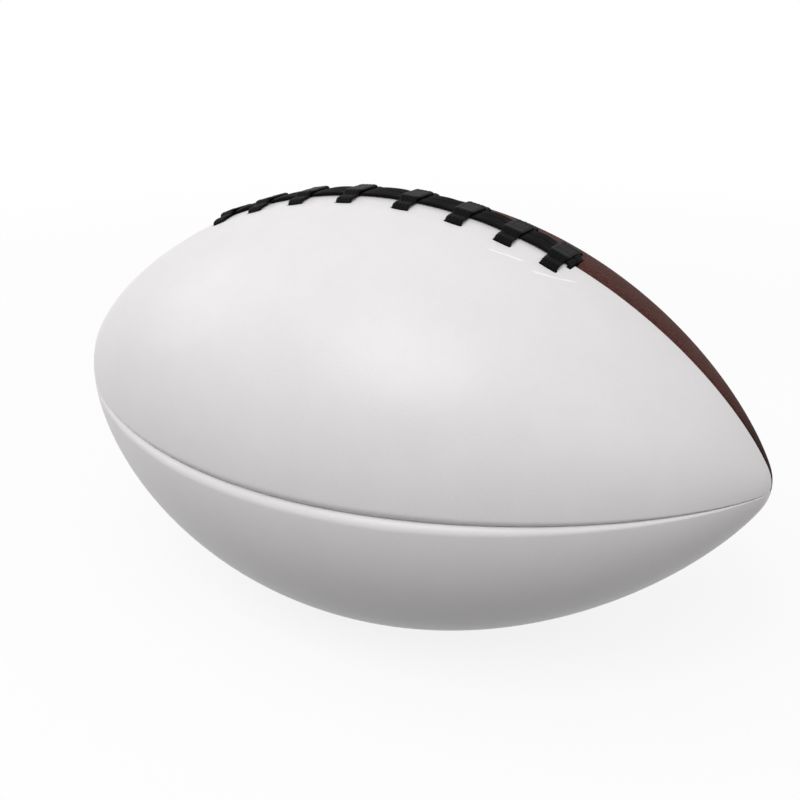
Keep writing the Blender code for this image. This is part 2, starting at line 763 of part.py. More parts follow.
def main():
    clear_scene()
    centre = bpy.data.objects.new("ball_centre", None)
    centre.location.z = CENTRE_HEIGHT
    bpy.context.scene.collection.objects.link(centre)

    lace_holes = make_lace_cutter(centre)
    valve_hole = make_valve_cutter(centre)
    thread_reach = reach_of(THREAD_END_RADIUS)
    whole_seam = [(-thread_reach, thread_reach)]
    first_stitch = SLIT_HALF + STITCH_LENGTH / 2
    top_spans = [(-thread_reach, -first_stitch), (first_stitch, thread_reach)]
    seam_spans = [top_spans, whole_seam, whole_seam, whole_seam]
    stitch_holes = [
        make_stitch_cutter(f"stitch_holes_{quarter}", centre, quarter, spans)
        for quarter, spans in enumerate(seam_spans)
    ]

    names = ("white_laced", "white_lower", "brown_lower", "brown_laced")
    for quarter, name in enumerate(names):
        kind = WHITE_COVER if quarter < 2 else BROWN_COVER
        panel = make_panel(f"panel_{name}", kind, centre, quarter, quarter == 0, quarter == 3)
        lining = make_lining(f"lining_{name}", centre, quarter)
        cut(panel, stitch_holes[quarter])
        cut(panel, stitch_holes[(quarter + 1) % 4])
        if quarter in (0, 3):
            cut(panel, lace_holes)
            cut(lining, lace_holes)
        if name == "brown_lower":
            cut(panel, valve_hole)
            cut(lining, valve_hole)

    make_thread("seam_thread_top_left", centre, 0, *top_spans[0])
    make_thread("seam_thread_top_right", centre, 0, *top_spans[1])
    make_thread("seam_thread_white_side", centre, 1, *whole_seam[0])
    make_thread("seam_thread_bottom", centre, 2, *whole_seam[0])
    make_thread("seam_thread_brown_side", centre, 3, *whole_seam[0])

    for name, side in (("lace_facing_white", -1), ("lace_facing_brown", 1)):
        cut(make_facing(name, centre, side), lace_holes)
    make_guard(centre)
    make_lace(centre)
    cut(make_bladder(centre), valve_hole)
    make_valve_housing(centre)
    make_valve_plug(centre)
    print(f"least gap between the lace and itself: {least_gap() * 1000:.2f} mm")


main()
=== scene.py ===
import math

import bpy
from bpy.props import FloatProperty, FloatVectorProperty, IntProperty, PointerProperty
from mathutils import Matrix, Vector


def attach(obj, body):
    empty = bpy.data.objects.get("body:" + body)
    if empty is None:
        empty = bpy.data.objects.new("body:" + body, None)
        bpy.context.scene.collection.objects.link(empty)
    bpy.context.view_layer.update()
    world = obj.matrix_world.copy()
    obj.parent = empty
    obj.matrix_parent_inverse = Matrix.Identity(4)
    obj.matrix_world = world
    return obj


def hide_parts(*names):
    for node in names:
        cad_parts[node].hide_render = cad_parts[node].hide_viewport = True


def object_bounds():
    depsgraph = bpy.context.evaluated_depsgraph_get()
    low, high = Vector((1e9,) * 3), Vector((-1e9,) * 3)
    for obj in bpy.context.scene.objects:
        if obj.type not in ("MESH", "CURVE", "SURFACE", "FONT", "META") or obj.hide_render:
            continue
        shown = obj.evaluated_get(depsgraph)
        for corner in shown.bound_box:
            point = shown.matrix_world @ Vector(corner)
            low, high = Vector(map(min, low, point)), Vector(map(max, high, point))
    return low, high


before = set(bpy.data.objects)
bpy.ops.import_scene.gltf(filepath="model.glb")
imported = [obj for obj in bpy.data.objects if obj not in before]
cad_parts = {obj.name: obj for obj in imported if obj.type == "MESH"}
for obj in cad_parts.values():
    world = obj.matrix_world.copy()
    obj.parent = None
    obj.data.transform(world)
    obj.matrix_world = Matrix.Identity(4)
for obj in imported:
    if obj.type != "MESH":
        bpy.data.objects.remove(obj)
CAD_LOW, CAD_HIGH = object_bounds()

bl_info = {
    "name": "American Football",
    "version": (1, 0, 0),
    "blender": (4, 5, 0),
    "location": "View3D > Sidebar > Football",
    "description": "Dresses the football: sewn cover, lace, threads, valve, inner layers and a plain stage",
    "category": "Object",
}

# The part's own sizes, in metres, as its source has them
TIP_FADE_RADIUS = 0.020
TIP_THIN_RADIUS = 0.008
TIP_ROUND = 0.0010
TOP_SEAM_SHIFT = math.radians(-1.8)
SIDE_SEAM_SHIFT = math.radians(1.4)
PANEL_THICKNESS = 0.0024
LINING_THICKNESS = 0.0008
FACING_THICKNESS = 0.0010
GUARD_THICKNESS = 0.0012
BLADDER_THICKNESS = 0.0010
GAP = 0.0003
EDGE_OFFSET = 0.00015
FLANGE_THICKNESS = 0.0020
FLANGE_DEPTH = 0.0062
SLIT_LIP = 0.0004
THREAD_HOLE = 0.0015
STITCH_LENGTH = 0.0248
THREAD_LEVEL_SHARE = 0.55
SLIT_HALF = 0.078
FACING_HALF = 0.015
LACE_CLEARANCE = 0.0006
LACE_UNDER_GAP = 0.0020
LACE_HOLE_SHARE = 0.45
LACE_TWIST_SHARE = 0.75
LACE_TAIL = 0.0042
LACE_SHIFT = -0.0016
BAR_PLACES = (0.0652, 0.0489, 0.0311, 0.0111)
BAR_FOOT = 0.0022
STRAND_END = 0.0700
LEFT_END = LACE_SHIFT - STRAND_END
RIGHT_END = LACE_SHIFT + STRAND_END
STRAND_BEND = ((0.12, -0.1), (0.5, 0.5))
BEND_LENGTH = 1.3
BEND_MIDDLE = 0.35
THREAD_END_RADIUS = 0.025
LINING_END_RADIUS = 0.015
BLADDER_END_RADIUS = 0.012
QUARTER = math.pi / 2

# How the dressed tips and folds differ from the part's, after the photograph
TIP_CAP = 0.0030
TIP_DRAWN = 0.0008
TIP_CLOSE_SHARE = 0.1
FOLD_FADE_RADIUS = 0.075
FOLD_FADE_POWER = 1.2
UPPER_FOLD_POWER = 2.5
LOWER_FOLD_POWER = 2.3

# Camera of the photograph, from the ball's centre
CAMERA_PLACE = (0.1872, -0.3320, 0.1663)
CAMERA_AIM = (0.0026, 0.0025, 0.0021)
CAMERA_ROLL = math.radians(0.23)
CAMERA_LENS = 50
CAMERA_SENSOR = 36

BROWN_TURNS = (2, 3)


def length_of(name, default, description):
    return FloatProperty(name=name, description=description, default=default, unit="LENGTH")


def share_of(name, default, description):
    return FloatProperty(name=name, description=description, default=default)


def colour_of(name, default, description):
    return FloatVectorProperty(
        name=name, description=description, default=default, size=3, min=0, max=1, subtype="COLOR",
    )


class FootballSizes(bpy.types.PropertyGroup):
    """Sizes that change the ball's dressed form."""

    length: length_of("Length", round(CAD_HIGH.x - CAD_LOW.x, 4), "From tip to tip")
    diameter: length_of("Diameter", 0.158, "Across the middle of the ball")
    profile_power: share_of("Profile power", 0.763, "0.5 is an ellipse, and more makes the tips sharper")
    tip_radius: length_of("Tip radius", 0.0042, "Radius of the small round where the panels meet")
    fold_width: length_of("Fold width", 0.0036, "How far beside a seam the panel starts to round over")
    fold_depth: length_of("Fold depth", 0.0020, "How deep the groove of a seam is")
    lace_width: length_of("Lace width", 0.0062, "Width of the flat lace")
    lace_thickness: length_of("Lace thickness", 0.0012, "Thickness of the flat lace")
    lace_ribs: IntProperty(name="Lace ribs", description="Ribs moulded along each face", default=4)
    lace_rib_depth: length_of("Rib depth", 0.00018, "Depth of the grooves between the ribs")
    crown_width: share_of("Crown width", 1.15, "Width of a bar over the strands, as a share of the lace's")
    thread_diameter: length_of("Thread diameter", 0.0009, "Diameter of the seam thread")
    valve_neck: length_of("Valve neck", 0.0090, "Diameter of the valve's neck")
    valve_flange: length_of("Valve flange", 0.0150, "Diameter of the flange inside the bladder")
    plug_head: length_of("Plug head", 0.0064, "Diameter of the plug's head")
    needle_hole: length_of("Needle hole", 0.0014, "Diameter of the hole for the inflating needle")


class FootballColours(bpy.types.PropertyGroup):
    """Main colour of each finish, as linear values."""

    white_cover: colour_of("White cover", (0.80, 0.775, 0.785), "Smooth white panels")
    brown_cover: colour_of("Brown cover", (0.090, 0.036, 0.030), "Pebbled brown panels")
    lace: colour_of("Lace", (0.0022, 0.0022, 0.0025), "Black vinyl lace")
    thread: colour_of("Thread", (0.72, 0.70, 0.66), "Sewing thread")
    lining: colour_of("Lining", (0.62, 0.59, 0.52), "Backing cloth")
    facing: colour_of("Facing", (0.30, 0.29, 0.27), "Doubling strips")
    guard: colour_of("Guard", (0.045, 0.040, 0.038), "Tongue under the lacing")
    bladder: colour_of("Bladder", (0.020, 0.020, 0.022), "Bladder rubber")
    valve: colour_of("Valve", (0.030, 0.028, 0.028), "Valve housing")
    plug: colour_of("Plug", (0.070, 0.035, 0.030), "Valve plug")
    floor: colour_of("Floor", (0.10, 0.10, 0.10), "Floor, as it lights the ball")


class Ball:
    """The ball's outside and its layers, worked out from the sizes in the panel."""

    def __init__(self, sizes):
        for name in sizes.bl_rna.properties.keys():
            if name not in ("rna_type", "name"):
                setattr(self, name, getattr(sizes, name))
        self.radius = self.diameter / 2
        tip_share = (self.tip_radius / self.radius) ** (1 / self.profile_power)
        self.body_half = self.length / 2 - TIP_ROUND
        self.half = self.body_half / math.sqrt(1 - tip_share)
        self.centre = math.sqrt(self.radius ** 2 - (EDGE_OFFSET + self.fold_width) ** 2)
        self.lining_top = PANEL_THICKNESS + GAP
        self.lining_bottom = self.lining_top + LINING_THICKNESS
        self.facing_top = self.lining_bottom + GAP
        self.facing_bottom = self.facing_top + FACING_THICKNESS
        self.hole_depth = self.facing_bottom + LACE_UNDER_GAP * LACE_HOLE_SHARE
        self.twist_depth = self.facing_bottom + LACE_UNDER_GAP * LACE_TWIST_SHARE
        self.lace_under = self.facing_bottom + LACE_UNDER_GAP + self.lace_thickness / 2
        self.thread_side = EDGE_OFFSET + FLANGE_THICKNESS + GAP + self.thread_diameter / 2
        flange = PANEL_THICKNESS + FLANGE_DEPTH - self.lining_bottom
        self.thread_level = self.lining_bottom + flange * THREAD_LEVEL_SHARE
        self.strand_level = GAP + self.lace_thickness / 2
        self.strand_offset = (self.lace_width + LACE_CLEARANCE) / 2
        self.strand_edge = self.strand_offset + self.lace_width / 2
        self.rise_start = self.strand_edge + (self.lace_thickness / 2 + LACE_CLEARANCE) * math.sqrt(2)
        self.bar_reach = self.rise_start + BAR_FOOT + self.lace_thickness * BEND_LENGTH

    def radius_at(self, x):
        return self.radius * (1 - (x / self.half) ** 2) ** self.profile_power

    def reach_of(self, radius):
        """How far from its middle the ball has this radius."""
        return self.half * math.sqrt(1 - (radius / self.radius) ** (1 / self.profile_power))

    def normal_at(self, x):
        """The surface's outward normal, as its parts along the ball and along the radius."""
        share = x / self.half
        slope = -2 * self.profile_power * self.radius * share / self.half
        slope *= (1 - share ** 2) ** (self.profile_power - 1)
        length = math.hypot(1, slope)
        return -slope / length, 1 / length

    def fade(self, x):
        """1 along the ball's body, falling towards 0 at the tips, where every seam detail shrinks."""
        return min(1, self.radius_at(x) / TIP_FADE_RADIUS)

    def layer_radius(self, x, depth):
        return self.radius_at(x) - depth * self.normal_at(x)[1]

    def point(self, x, angle, depth):
        """A point under the surface at station x, `angle` round from the top towards -Y."""
        radius = self.layer_radius(x, depth)
        along = x - depth * self.normal_at(x)[0]
        return Vector((along, -radius * math.sin(angle), radius * math.cos(angle) + self.centre))

    def beside(self, x, offset, depth):
        """The angle from a seam's plane to a point that lies `offset` beside that plane."""
        return math.asin(offset / self.layer_radius(x, depth))

    def over(self, x, across, height):
        """A point above the surface beside the top seam, `across` from its plane towards +Y."""
        radius = self.layer_radius(x, -height)
        up = math.sqrt(radius ** 2 - across ** 2)
        return Vector((x + height * self.normal_at(x)[0], across, up + self.centre))

    def directions(self, x, across):
        """Along, across and out directions on the surface beside the top seam."""
        normal_x, normal_r = self.normal_at(x)
        angle = math.asin(across / self.radius_at(x))
        along = Vector((normal_r, -normal_x * math.sin(angle), -normal_x * math.cos(angle)))
        sideways = Vector((0, math.cos(angle), -math.sin(angle)))
        out = Vector((normal_x, normal_r * math.sin(angle), normal_r * math.cos(angle)))
        return along, sideways, out

    def thickness(self, x):
        return PANEL_THICKNESS * min(1, self.radius_at(x) / TIP_THIN_RADIUS)

    def flange_end(self, x, laced):
        """How far under the surface a panel's sewn flange reaches."""
        if laced and abs(x) <= SLIT_HALF:
            return self.thickness(x) + SLIT_LIP
        return self.thickness(x) + FLANGE_DEPTH * self.fade(x)

    def stations(self, steps, reach):
        """Places along the ball, closer together towards the tips."""
        turn = math.asin(reach / self.half)
        return [self.half * math.sin(turn * (2 * step / steps - 1)) for step in range(steps + 1)]

    def turned(self, points, quarter):
        """Points of the top seam or first quarter, turned on to another."""
        middle = Vector((0, 0, self.centre))
        turn = Matrix.Rotation(quarter * QUARTER, 3, "X")
        return [turn @ (point - middle) + middle for point in points]


def seam_shift(angle):
    """How far a point moves round the ball, as the white laced panel is a little wider than a quarter."""
    turns = angle / QUARTER
    quarter = math.floor(turns)
    shifts = (TOP_SEAM_SHIFT, SIDE_SEAM_SHIFT, 0, 0)
    here = shifts[quarter % 4]
    return here + (shifts[(quarter + 1) % 4] - here) * ease(turns - quarter)


def ease(share):
    share = min(1, max(0, share))
    return share * share * (3 - 2 * share)


# Modelling

MERGE_DISTANCE = 1e-6
BEVEL_STEPS = 3
SHARP = 40


def deselect():
    for item in bpy.context.selected_objects:
        item.select_set(False)
    bpy.context.view_layer.objects.active = None


def choose(item):
    deselect()
    item.select_set(True)
    bpy.context.view_layer.objects.active = item


def skin(name, rings):
    """Rolls a grid through rings of points into one closed tube with its ends filled.

    Its UV map has metres round the ring and metres along the tube.
    """
    around = len(rings[0])
    deselect()
    bpy.ops.mesh.primitive_grid_add(x_subdivisions=around, y_subdivisions=len(rings) - 1, size=1)
    made = bpy.context.object
    made.name = made.data.name = name
    rows = [(*ring, ring[0]) for ring in rings]
    made.data.vertices.foreach_set("co", [number for row in rows for point in row for number in point])
    places = []
    along = 0.0
    for index, row in enumerate(rows):
        if index:
            along += (row[0] - rows[index - 1][0]).length
        across = 0.0
        for before, point in zip((row[0], *row), row):
            across += (point - before).length
            places.append((across, along))
    corners = [0] * len(made.data.loops)
    made.data.loops.foreach_get("vertex_index", corners)
    flat = [number for corner in corners for number in places[corner]]
    made.data.uv_layers[0].uv.foreach_set("vector", flat)
    bpy.ops.object.mode_set(mode="EDIT")
    bpy.ops.mesh.select_all(action="SELECT")
    bpy.ops.mesh.remove_doubles(threshold=MERGE_DISTANCE)
    bpy.ops.mesh.fill_holes(sides=0)
    bpy.ops.mesh.normals_make_consistent(inside=False)
    bpy.ops.object.mode_set(mode="OBJECT")
    return made


def smooth(item, degrees=SHARP):
    """Shades a piece smooth, apart from edges sharper than this."""
    choose(item)
    bpy.ops.object.shade_smooth_by_angle(angle=math.radians(degrees))


def apply_all(item):
    choose(item)
    for modifier in list(item.modifiers):
        bpy.ops.object.modifier_apply(modifier=modifier.name)


def settle(item, centre):
    """Moves a piece's points round the ball's long axis to where the seams lie."""
    for vertex in item.data.vertices:
        up = vertex.co.z - centre
        reach = math.hypot(vertex.co.y, up)
        angle = math.atan2(-vertex.co.y, up)
        angle += seam_shift(angle)
        vertex.co.y = -reach * math.sin(angle)
        vertex.co.z = reach * math.cos(angle) + centre


def place(item, ball, slot, *nodes):
    """Gives a finished piece its place round the ball, its slot's finish and its body, and hides the CAD
    nodes that it replaces.
    """
    settle(item, ball.centre)
    item.data.materials.clear()
    item.data.materials.append(finish_of(slot))
    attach(item, "root")
    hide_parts(*nodes)


def cut(item, cutters):
    """Takes each cutter out of a piece, and removes the cutters."""
    for cutter in cutters:
        hole = item.modifiers.new("hole", "BOOLEAN")
        hole.operation = "DIFFERENCE"
        hole.solver = "EXACT"
        hole.object = cutter
    apply_all(item)
    for cutter in cutters:
        bpy.data.objects.remove(cutter)


def joined(name, items):
    choose(items[0])
    for item in items[1:]:
        item.select_set(True)
    bpy.ops.object.join()
    made = bpy.context.object
    made.name = made.data.name = name
    return made


def block(centre, axes, sizes, rounding=0.0):
    """A box along three directions, with its upright edges rounded."""
    deselect()
    bpy.ops.mesh.primitive_cube_add(size=1)
    made = bpy.context.object
    made.data.transform(Matrix.Diagonal((*sizes, 1)))
    if rounding:
        bevel = made.modifiers.new("rounding", "BEVEL")
        bevel.width = rounding
        bevel.segments = BEVEL_STEPS
        apply_all(made)
    turn = Matrix((axes[0], axes[1], axes[2])).transposed().to_4x4()
    turn.translation = centre
    made.data.transform(turn)
    return made


# Cover

FOLD_STEPS = 9
NEAR_COLUMNS = 17
NEAR_STEP = 0.001
FAR_COLUMNS = 20
PANEL_STEPS = 220
DOME_STEPS = 7
DIMPLE_DEPTH = 0.00035
DIMPLE_ALONG = 0.0052
DIMPLE_ACROSS = 0.0034
STRIP_RISE = 0.00014
STRIP_EDGE = 0.0165
STRIP_SOFT = 0.0022
STRIP_START = 0.006
DIMPLE_REACH = 3
INNER_COLUMNS = 8
SLOT_ROUNDING = 0.3
VALVE_SIDES = 64
VALVE_QUARTERS = 2.5


def hollow(ball, x, arc):
    """Extra depth of a laced panel's face: dimples at the lace's holes, a rise over the doubling strip."""
    depth = 0.0
    for place_x in bar_stations():
        far = ((x - place_x) / DIMPLE_ALONG) ** 2 + ((arc - ball.bar_reach) / DIMPLE_ACROSS) ** 2
        if far < DIMPLE_REACH ** 2:
            depth += DIMPLE_DEPTH * math.exp(-far)
    along = ease((SLIT_HALF + STRIP_SOFT - abs(x)) / STRIP_SOFT / 2 + 0.5)
    across = ease((STRIP_EDGE - arc) / STRIP_SOFT + 0.5)
    return depth - STRIP_RISE * along * across * ease(arc / STRIP_START)


def half_section(ball, x, laced, power):
    """Outer and inner (angle, depth) points of a panel, from its sewn edge to the middle."""
    fade = ball.fade(x)
    thick = ball.thickness(x)
    tip = ball.flange_end(x, laced)
    fold_fade = min(1, ball.radius_at(x) / FOLD_FADE_RADIUS) ** FOLD_FADE_POWER
    wide = ball.fold_width * fold_fade
    deep = ball.fold_depth * fold_fade
    places = [(EDGE_OFFSET, tip), (EDGE_OFFSET, (tip + deep) / 2)]
    for step in range(FOLD_STEPS + 1):
        share = step / FOLD_STEPS
        places.append((EDGE_OFFSET + wide * share, deep * (1 - share) ** power))
    outer = [(ball.beside(x, offset, depth), depth) for offset, depth in places]
    radius = ball.radius_at(x)
    start = outer[-1][0] * radius
    end = QUARTER / 2 * radius
    full_start = ball.fold_width + EDGE_OFFSET
    full_end = QUARTER / 2 * ball.radius
    near_end = full_start + NEAR_COLUMNS * NEAR_STEP
    arcs = [full_start + NEAR_STEP * step for step in range(1, NEAR_COLUMNS + 1)]
    arcs += [near_end + (full_end - near_end) * step / FAR_COLUMNS for step in range(1, FAR_COLUMNS)]
    for arc in arcs:
        here = start + (end - start) * (arc - full_start) / (full_end - full_start)
        depth = hollow(ball, x, here) * fade if laced else 0
        outer.append((here / radius, depth))
    side = EDGE_OFFSET + FLANGE_THICKNESS * fade
    inner = [(ball.beside(x, side, depth), depth) for depth in (tip, thick)]
    middle = QUARTER / 2
    corner = inner[-1][0]
    shares = [step / INNER_COLUMNS for step in range(1, INNER_COLUMNS)]
    inner += [(corner + (middle - corner) * share, thick) for share in shares]
    return outer, inner


def panel_ring(ball, x, laced_start, laced_end):
    start_outer, start_inner = half_section(ball, x, laced_start, LOWER_FOLD_POWER)
    end_outer, end_inner = half_section(ball, x, laced_end, UPPER_FOLD_POWER)
    path = start_outer + [(QUARTER / 2, 0)]
    path += [(QUARTER - angle, depth) for angle, depth in reversed(end_outer)]
    path += [(QUARTER - angle, depth) for angle, depth in end_inner]
    path += [(QUARTER / 2, ball.thickness(x))] + start_inner[::-1]
    return [ball.point(x, angle, depth) for angle, depth in path]


def tip_dome(ball, ring, way):
    """Rings that round a panel in over its tip, from the body's slope to flat."""
    start = ball.length / 2 - TIP_CAP
    end = ball.length / 2 - TIP_DRAWN
    normal_x, normal_r = ball.normal_at(start)
    corner = 1 - normal_x / normal_r * (end - start) / ball.radius_at(start)
    rings = []
    for step in range(1, DOME_STEPS + 1):
        t = step / DOME_STEPS
        share = (1 - t) ** 2 + 2 * t * (1 - t) * corner + t ** 2 * TIP_CLOSE_SHARE
        x = end - (1 - t) ** 2 * (end - start)
        shift = way * (x - start)
        rings.append([
            Vector((point.x + shift, point.y * share, (point.z - ball.centre) * share + ball.centre))
            for point in ring
        ])
    return rings


def bar_stations():
    spots = list(BAR_PLACES) + [-spot for spot in reversed(BAR_PLACES)]
    return [LACE_SHIFT + spot for spot in spots]


def lace_cutter(ball):
    """Slots for the feet of the bars and for the ends of the strands."""
    wide = ball.lace_width + 2 * GAP
    thin = ball.lace_thickness + 2 * GAP
    through = ball.hole_depth + ball.fold_depth
    blocks = []
    for x in bar_stations():
        for across in (-ball.bar_reach, ball.bar_reach):
            centre = ball.over(x, across, GAP - through / 2)
            sizes = (wide, thin, through)
            blocks.append(block(centre, ball.directions(x, 0), sizes, thin * SLOT_ROUNDING))
    both = 2 * (ball.strand_offset + ball.lace_width / 2 + GAP)
    for x in (LEFT_END, RIGHT_END):
        centre = ball.over(x, 0, GAP - through / 2)
        blocks.append(block(centre, ball.directions(x, 0), (thin, both, through)))
    return joined("lace_holes", blocks)


def valve_cutter(ball):
    top = ball.radius + PANEL_THICKNESS
    bottom = ball.radius - ball.hole_depth * 2
    deselect()
    radius = ball.valve_neck / 2 + GAP
    bpy.ops.mesh.primitive_cylinder_add(vertices=VALVE_SIDES, radius=radius, depth=top - bottom)
    made = bpy.context.object
    made.data.transform(Matrix.Translation((0, 0, (top + bottom) / 2)))
    made.data.transform(valve_turn(ball))
    return made


def valve_turn(ball):
    """From a valve that stands up at the ball's centre to its place in the lower brown panel."""
    return Matrix.Translation((0, 0, ball.centre)) @ Matrix.Rotation(VALVE_QUARTERS * QUARTER, 4, "X")


class MESH_OT_football_cover(bpy.types.Operator):
    """Make the four sewn cover panels"""

    bl_idname = "mesh.football_cover"
    bl_label = "Cover Panels"

    def execute(self, context):
        ball = Ball(context.scene.football_sizes)
        stations = ball.stations(PANEL_STEPS, ball.length / 2 - TIP_CAP)
        names = ("white_laced", "white_lower", "brown_lower", "brown_laced")
        for quarter, name in enumerate(names):
            rings = [panel_ring(ball, x, quarter == 0, quarter == 3) for x in stations]
            rings = tip_dome(ball, rings[0], -1)[::-1] + rings + tip_dome(ball, rings[-1], 1)
            made = skin(f"cover_{name}", [ball.turned(ring, quarter) for ring in rings])
            if quarter in (0, 3):
                cut(made, [lace_cutter(ball)])
            if quarter == 2:
                cut(made, [valve_cutter(ball)])
            smooth(made)
            slot = "brown_cover" if quarter in BROWN_TURNS else "white_cover"
            place(made, ball, slot, f"panel_{name}")
        return {"FINISHED"}


# Lacing

LACE_STEP = 0.0008
STRAND_STEPS = 90
PRESS_REACH = 0.0048
STRAND_SWELL = 1.35
STRAND_PRESSED = 0.65
STRAND_SHARE = 0.88
CROWN_SMOOTH = 0.75
CROWN_THICKNESS = 0.95
END_SWELL = 0.35
END_LIFT = 0.0006
CROWN_GAP = 0.00012
RISE_TUCK = 0.0006
END_EASE = 0.002
EDGE_ROUND = 0.9
RIB_STEPS = 6
EDGE_STEPS = 6
LACE_SHARP = 50

# The way that the lace's width points, in degrees from along the ball towards +Y
SIDEWAYS = 90
BACKWARDS = 180


def lace_dive(ball):
    """(inward, height) points of the lace where it comes up out of a hole and bends over."""
    thick = ball.lace_thickness
    bends = [(thick * inward, thick * height) for inward, height in STRAND_BEND]
    return [(0, -ball.hole_depth), (0, -PANEL_THICKNESS), *bends]


def strand_run(ball, across):
    """A strand, pressed flat under each bar and swelling between them and beyond the last."""
    half = STRAND_END - ball.lace_thickness * BEND_LENGTH
    across -= math.copysign((1 - STRAND_SHARE) * ball.lace_width / 2, across)
    dive = lace_dive(ball)
    stops = [(LEFT_END + inward, across, height, SIDEWAYS, STRAND_SHARE, 1) for inward, height in dive]
    for step in range(STRAND_STEPS + 1):
        x = LACE_SHIFT + half * (2 * step / STRAND_STEPS - 1)
        pressed = max(math.exp(-((x - bar) / PRESS_REACH) ** 2) for bar in bar_stations())
        end = ease((abs(x - LACE_SHIFT) - BAR_PLACES[0] - ball.lace_width / 2) / END_EASE)
        swell = STRAND_SWELL + (STRAND_PRESSED - STRAND_SWELL) * pressed + END_SWELL * end
        height = GAP + ball.lace_thickness / 2 * swell + END_LIFT * end
        stops.append((x, across, height, SIDEWAYS, STRAND_SHARE, swell))
    for inward, height in reversed(dive):
        stops.append((RIGHT_END - inward, across, height, SIDEWAYS, STRAND_SHARE, 1))
    return stops


def bar_run(ball, x):
    """One cross bar: out of the near hole, flat to the strands, up and over both, and down the far hole."""
    level = GAP + ball.lace_thickness * (STRAND_PRESSED + 0.5) + CROWN_GAP
    start = ball.rise_start - RISE_TUCK - (1 - STRAND_SHARE) * ball.lace_width
    crown = start - (level - ball.strand_level)
    half = [(ball.bar_reach - inward, height, 1) for inward, height in lace_dive(ball)]
    half += [
        (ball.rise_start + BAR_FOOT - RISE_TUCK, ball.strand_level, 1),
        (start, ball.strand_level, 1),
        (crown, level, (ball.crown_width + 1) / 2),
    ]
    stops = [(x, -across, height, BACKWARDS, wide, 1) for across, height, wide in half]
    for across in (-crown / 2, 0, crown / 2):
        stops.append((x, across, level, BACKWARDS, ball.crown_width, CROWN_THICKNESS))
    return stops + [(x, across, height, BACKWARDS, wide, 1) for across, height, wide in reversed(half)]


def under_run(ball, start, end):
    """The lace's way from one hole to the next, under the facing."""
    step_x = end[0] - start[0]
    step_y = end[1] - start[1]
    length = math.hypot(step_x, step_y)
    heading = BACKWARDS - math.degrees(math.atan2(-step_x, abs(step_y)))
    bend = ball.lace_thickness * BEND_MIDDLE / length
    level = ball.lace_thickness * BEND_LENGTH / length
    halfway = (ball.lace_under + ball.twist_depth) / 2
    half = [(0, ball.twist_depth), (bend, halfway), (level, ball.lace_under)]
    stops = half + [(0.5, ball.lace_under)] + [(1 - share, depth) for share, depth in reversed(half)]
    return [
        (start[0] + step_x * share, start[1] + step_y * share, -depth, heading, 1, 1)
        for share, depth in stops
    ]


def lace_route(ball):
    """The whole lace as (x, across, height, heading, width share, thickness share) stops."""
    bars = bar_stations()
    thick = ball.lace_thickness
    tail = [
        (LACE_TAIL, ball.lace_under),
        (thick * BEND_LENGTH, ball.lace_under),
        (thick * BEND_MIDDLE, (ball.lace_under + ball.hole_depth) / 2),
    ]
    side = ball.strand_offset
    route = [(LEFT_END + inward, -side, -depth, SIDEWAYS, 1, 1) for inward, depth in tail]
    route += strand_run(ball, -side)
    route += under_run(ball, (RIGHT_END, -side), (bars[0], -ball.bar_reach))
    for index, x in enumerate(bars):
        route += bar_run(ball, x)
        if index + 1 < len(bars):
            route += under_run(ball, (x, ball.bar_reach), (bars[index + 1], -ball.bar_reach))
    route += under_run(ball, (bars[-1], ball.bar_reach), (LEFT_END, side))
    route += strand_run(ball, side)
    for inward, depth in reversed(tail):
        route.append((RIGHT_END - inward, side, -depth, SIDEWAYS, 1, 1))
    return route


def run_through(points, values, spacing):
    """A smooth line through points, with the values that go with them, at about this spacing."""
    spans = [(after - before).length for before, after in zip(points, points[1:])]
    slopes = []
    for index in range(len(points)):
        if index == 0:
            slopes.append((points[1] - points[0]) / spans[0])
        elif index == len(points) - 1:
            slopes.append((points[-1] - points[-2]) / spans[-1])
        else:
            before, after = spans[index - 1], spans[index]
            back = (points[index] - points[index - 1]) / before
            forth = (points[index + 1] - points[index]) / after
            slopes.append((back * after + forth * before) / (before + after))
    line = []
    for index, span in enumerate(spans):
        steps = max(2, math.ceil(span / spacing))
        last = index == len(spans) - 1
        for step in range(steps + 1 if last else steps):
            t = step / steps
            a = 2 * t ** 3 - 3 * t ** 2 + 1
            b = t ** 3 - 2 * t ** 2 + t
            c = 3 * t ** 2 - 2 * t ** 3
            d = t ** 3 - t ** 2
            here = points[index] * a + slopes[index] * (b * span)
            here += points[index + 1] * c + slopes[index + 1] * (d * span)
            pairs = zip(values[index], values[index + 1])
            mixed = [first + (second - first) * t for first, second in pairs]
            line.append((here, mixed))
    return line


def lace_section(ball, rib_depth):
    """The flat lace's outline with ribs on both faces, as (width, thickness) points."""
    half = ball.lace_width / 2
    thick = ball.lace_thickness / 2
    round_end = thick * EDGE_ROUND
    flat = half - round_end
    top = []
    steps = ball.lace_ribs * RIB_STEPS
    for step in range(steps + 1):
        share = step / steps
        rib = 0.5 - 0.5 * math.cos(2 * math.pi * ball.lace_ribs * share)
        top.append((flat * (1 - 2 * share), thick - rib_depth * (1 - rib)))
    edge = []
    for step in range(1, EDGE_STEPS):
        turn = QUARTER + math.pi * step / EDGE_STEPS
        edge.append((-flat + round_end * math.cos(turn), (thick - rib_depth) * math.sin(turn)))
    bottom = [(-wide, -high) for wide, high in top]
    other = [(-wide, -high) for wide, high in edge]
    return top + edge + bottom + other


def rings_along(line, section, widths):
    """A section carried along a line, its width lying along each point's width direction."""
    rings = []
    for index, (point, values) in enumerate(line):
        before = line[max(index - 1, 0)][0]
        after = line[min(index + 1, len(line) - 1)][0]
        forward = (after - before).normalized()
        width = widths(values)
        width = (width - forward * width.dot(forward)).normalized()
        thick = forward.cross(width)
        rings.append([point + width * wide + thick * high for wide, high in section(values)])
    return rings


